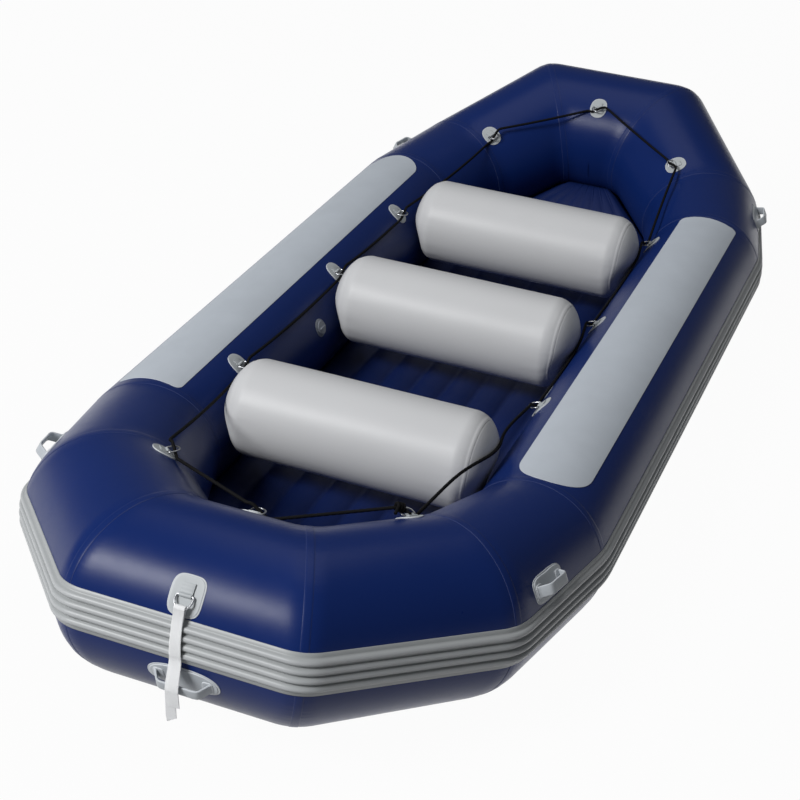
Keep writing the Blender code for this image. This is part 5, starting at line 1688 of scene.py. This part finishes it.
def strap_line():
    """Middle line of the strap, as (distance ahead of the bow tube's axis, height), from the ring down."""
    rim = END[2] + SEAT + STRAKE_BASE + STRAKE_RISE + 2 * STRAP_HALF
    leans = [math.radians(lean) for lean in (68, 76, 84, 90)]
    line = [(rim * math.sin(lean), rim * math.cos(lean)) for lean in leans]
    handle = END[2] + HANDLE_RISE + HANDLE_BAR + 3 * STRAP_HALF
    lean = bow_handle_place()[1]
    line.append((handle * math.sin(lean) + 0.003, handle * math.cos(lean) + 0.028))
    line.append((handle * math.sin(lean) + 0.005, handle * math.cos(lean)))
    line.append((handle * math.sin(lean) + 0.003, STRAP_END_Z - CORNERS[BOW][0].z))
    return line


STRAP_FALL, STRAP_LEANS = 0.35, (0.024, 0.006)  # how far its two layers hang aside, over that drop
TIP_SLANT, TIP_LEFT = 0.8, 0.06  # how far the strap's tip is cut to one side, and its least share of width


def ribbon(bm, path, half, thick, tip):
    """A band along 3-D points with its width across the raft. The tip is how long its pointed end is."""
    corner = thick * 0.4
    section = rounded_section(1.0, thick / 2, corner)
    total = sum(math.dist(here, after) for here, after in zip(path, path[1:]))
    rings, uvs, run = [], [], 0.0
    for step, point in enumerate(path):
        ahead = (path[min(step + 1, len(path) - 1)] - path[max(step - 1, 0)]).normalized()
        across = Vector((1.0, 0.0, 0.0))
        across = (across - ahead * across.dot(ahead)).normalized()
        out = ahead.cross(across)
        run += (point - path[step - 1]).length if step else 0.0
        wide = half
        if total - run < tip:
            wide = half * max(TIP_LEFT, (total - run) / tip)
        side = wide - half
        flat = []
        for a, t in section:
            x = (half - corner) * a if abs(a) < 1.0 else half * a
            flat.append((x * wide / half + side * TIP_SLANT, t))
        rings.append([point + across * a + out * t for a, t in flat])
        uvs.append([(a * half, run) for a, _ in section + section[:1]])
    loft(bm, rings, uv=uvs)


class RAFT_OT_tow_fitting(bpy.types.Operator):
    """Build the bow's tow patch, its ring and the doubled webbing strap that hangs from the ring."""

    bl_idname = "raft.tow_fitting"
    bl_label = "Tow fitting"

    def execute(self, context):
        seat = tow_seat()
        ring_pad("tow_patch", seat, TOW_HALF, power=3.6, wire_radius=TOW_WIRE, loop=TOW_LOOP, tail=0.031,
                 ridges=3, lip=0.0013)
        ring_wire("tow_ring", seat, TOW_WIRE, TOW_RING_HALF, TOW_ARM, TOW_TILT)
        bm = bmesh.new()
        ribbon(bm, self.strap_points(seat), STRAP_HALF_WIDTH * 1.12, STRAP_HALF * 1.25, tip=0.016)
        new_piece("tow_strap_webbing", bm, [FINISH["webbing"]], body="tow_ring",
                  replaces=["tow_strap"], sharp=50.0)
        return {"FINISHED"}

    def strap_points(self, seat):
        """The strap's middle line: up its back layer, round the ring and down its front layer."""
        axis = CORNERS[BOW][0]
        ring = ring_place(seat.place, TOW_WIRE, TOW_TILT)
        low = ring @ Vector((0.0, 0.0020 - TOW_ARM - TOW_RING_HALF, 0.0))
        eye = Vector((-(low.y - axis.y), low.z - axis.z))
        line = [Vector(point) for point in strap_line()]
        down = (line[0] - eye).normalized()
        across = Vector((down.y, -down.x))
        reach = STRAP_EYE + STRAP_HALF * 0.6

        def layer(side, stop):
            curve = [Vector((p.x, p.y, 0.0)) for p in [line[0] + (line[0] - line[1]) * 0.2] + line[1:]]
            curve = smooth_path(curve, 8, closed=False)
            offset = []
            for step, point in enumerate(curve):
                ahead = curve[min(step + 1, len(curve) - 1)] - curve[max(step - 1, 0)]
                offset.append(point.xy + Vector((ahead.y, -ahead.x)).normalized() * STRAP_HALF * 0.52 * side)
            return offset[: round(len(offset) * stop)]

        loop = [eye - down * reach * math.cos(turn) - across * reach * math.sin(turn)
                for turn in (math.radians(-135.0 + 270.0 * step / 16) for step in range(17))]
        back, front = layer(-1, 0.90), layer(1, 1.0)
        turning = loop if (loop[0] - back[0]).length < (loop[-1] - back[0]).length else loop[::-1]
        flat = back[::-1] + turning + front
        middle = ring.translation.x
        points, drop = [], line[0].y
        for at, point in enumerate(flat):
            low_share = max(0.0, min(1.0, (drop - point.y) / STRAP_FALL))
            lean = (STRAP_LEANS[0] if at < len(back) else STRAP_LEANS[1]) * low_share
            points.append(Vector((middle + lean, axis.y - point.x, axis.z + point.y)))
        return points


# Carry handles
def carry_handle(name, seat, half, span, power):
    """Moulded base with a stepped edge and two feet, and a strap that leaves room for the fingers."""
    bm = bmesh.new()
    rim = bm.verts.layers.float.new("rim")
    thick = SEAT + PATCH_THICK + 0.0006
    lay_patch(bm, seat, superellipse(half, power, 72), patch_levels(thick, 0.006, 0.0016), rim)
    foot = span + HANDLE_FOOT
    for side in (-1, 1):
        outline = superellipse((0.0150, HANDLE_WIDE + 0.0035), 4.0, 40)
        levels = [(0.5, 0.0, 0.001, 0.0), (1.0, 0.0, 0.001, 0.0), (1.0, 0.0, thick + 0.0012, 1.0)]
        levels += [(1.0, 0.0008, thick + 0.0020, 1.0), (1.0, 0.004, thick + 0.0024, 0.2)]
        levels += [(0.4, 0.0, thick + 0.0024, 0.0)]
        lay_patch(bm, seat, outline, levels, rim, centre=(side * (foot - 0.010), 0.0))
    top = SEAT + 0.0005 + HANDLE_RISE - HANDLE_BAR / 2
    bend = [(-foot + 0.001, thick + 0.0005), (-foot + 0.006, thick + 0.006), (-foot + 0.012, top * 0.55)]
    bend += [(-span + 0.001, top - 0.0035), (-span + 0.012, top), (-span * 0.4, top)]
    bend += [(-x, z) for x, z in reversed(bend)]
    curve = smooth_path([Vector((x, 0.0, z)) for x, z in bend], 6, closed=False)
    section = rounded_section(HANDLE_WIDE, HANDLE_BAR / 2, 0.0024)
    rings, uvs, run = [], [], 0.0
    for step, point in enumerate(curve):
        ahead = (curve[min(step + 1, len(curve) - 1)] - curve[max(step - 1, 0)]).normalized()
        out = ahead.cross(Vector((0.0, -1.0, 0.0)))
        run += (point - curve[step - 1]).length if step else 0.0
        rings.append([seat.place @ (point + Vector((0.0, a, 0.0)) + out * t) for a, t in section])
        uvs.append([(a, run) for a, _ in section + section[:1]])
    masks = [[0.55 if abs(abs(a) - HANDLE_WIDE) < 0.001 else 0.0 for a, _ in section] for _ in rings]
    loft(bm, rings, uv=uvs, layer=rim, values=masks)
    return new_piece(name + "_grip", bm, [FINISH["handle"]], replaces=[name],
                     sharp=45.0)


class RAFT_OT_handles(bpy.types.Operator):
    """Build the carry handles at the bow and on the four shoulders."""

    bl_idname = "raft.handles"
    bl_label = "Carry handles"

    def execute(self, context):
        for name, segment, y in (
                ("bow_port_handle", BOW_PORT_SHOULDER, -BOW_CORNER_HANDLE_Y),
                ("stern_port_handle", STERN_PORT_SHOULDER, HANDLE_Y),
                ("stern_starboard_handle", STERN_STARBOARD_SHOULDER, HANDLE_Y),
                ("bow_starboard_handle", BOW_STARBOARD_SHOULDER, -BOW_CORNER_HANDLE_Y)):
            lean = beside_strake(segment, share_at_y(segment, y, 0.0), HANDLE_HALF[1], HANDLE_GAP)
            seat = Seat(segment, share_at_y(segment, y, lean), lean)
            carry_handle(name, seat, HANDLE_HALF, HANDLE_SPAN, 4.0)
        middle, lean = bow_handle_place()
        carry_handle("bow_handle", Seat(BOW, middle, lean), BOW_HANDLE_HALF, BOW_HANDLE_SPAN, 2.4)
        return {"FINISHED"}


class RAFT_PT_builder(bpy.types.Panel):
    """Lists the steps of the raft."""

    bl_idname = "RAFT_PT_builder"
    bl_label = "Inflatable river raft"
    bl_space_type = "VIEW_3D"
    bl_region_type = "UI"
    bl_category = "Raft"

    def draw(self, context):
        for name in RaftSizes.__annotations__:
            self.layout.prop(context.scene.raft_sizes, name)
        for name in RaftColours.__annotations__:
            self.layout.prop(context.scene.raft_colours, name)
        for step in STEPS:
            self.layout.operator(step.bl_idname)


STEPS = (
    RAFT_OT_finishes, RAFT_OT_stage, RAFT_OT_tubes, RAFT_OT_tapes, RAFT_OT_strake, RAFT_OT_wear_sheets,
    RAFT_OT_floor, RAFT_OT_thwarts, RAFT_OT_valves, RAFT_OT_lifeline, RAFT_OT_tow_fitting, RAFT_OT_handles,
)
CLASSES = (RaftSizes, RaftColours) + STEPS + (RAFT_PT_builder,)


def register():
    for each in CLASSES:
        bpy.utils.register_class(each)
    bpy.types.Scene.raft_sizes = bpy.props.PointerProperty(type=RaftSizes)
    bpy.types.Scene.raft_colours = bpy.props.PointerProperty(type=RaftColours)


def unregister():
    del bpy.types.Scene.raft_colours
    del bpy.types.Scene.raft_sizes
    for each in reversed(CLASSES):
        bpy.utils.unregister_class(each)


def main():
    register()
    for step in STEPS:
        group, name = step.bl_idname.split(".")
        getattr(getattr(bpy.ops, group), name)()
    boxes = {"cad": CAD_BOX, "visual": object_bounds()}
    {name: [list(corner) for corner in box] for name, box in boxes.items()}


if __name__ == "__main__":
    main()
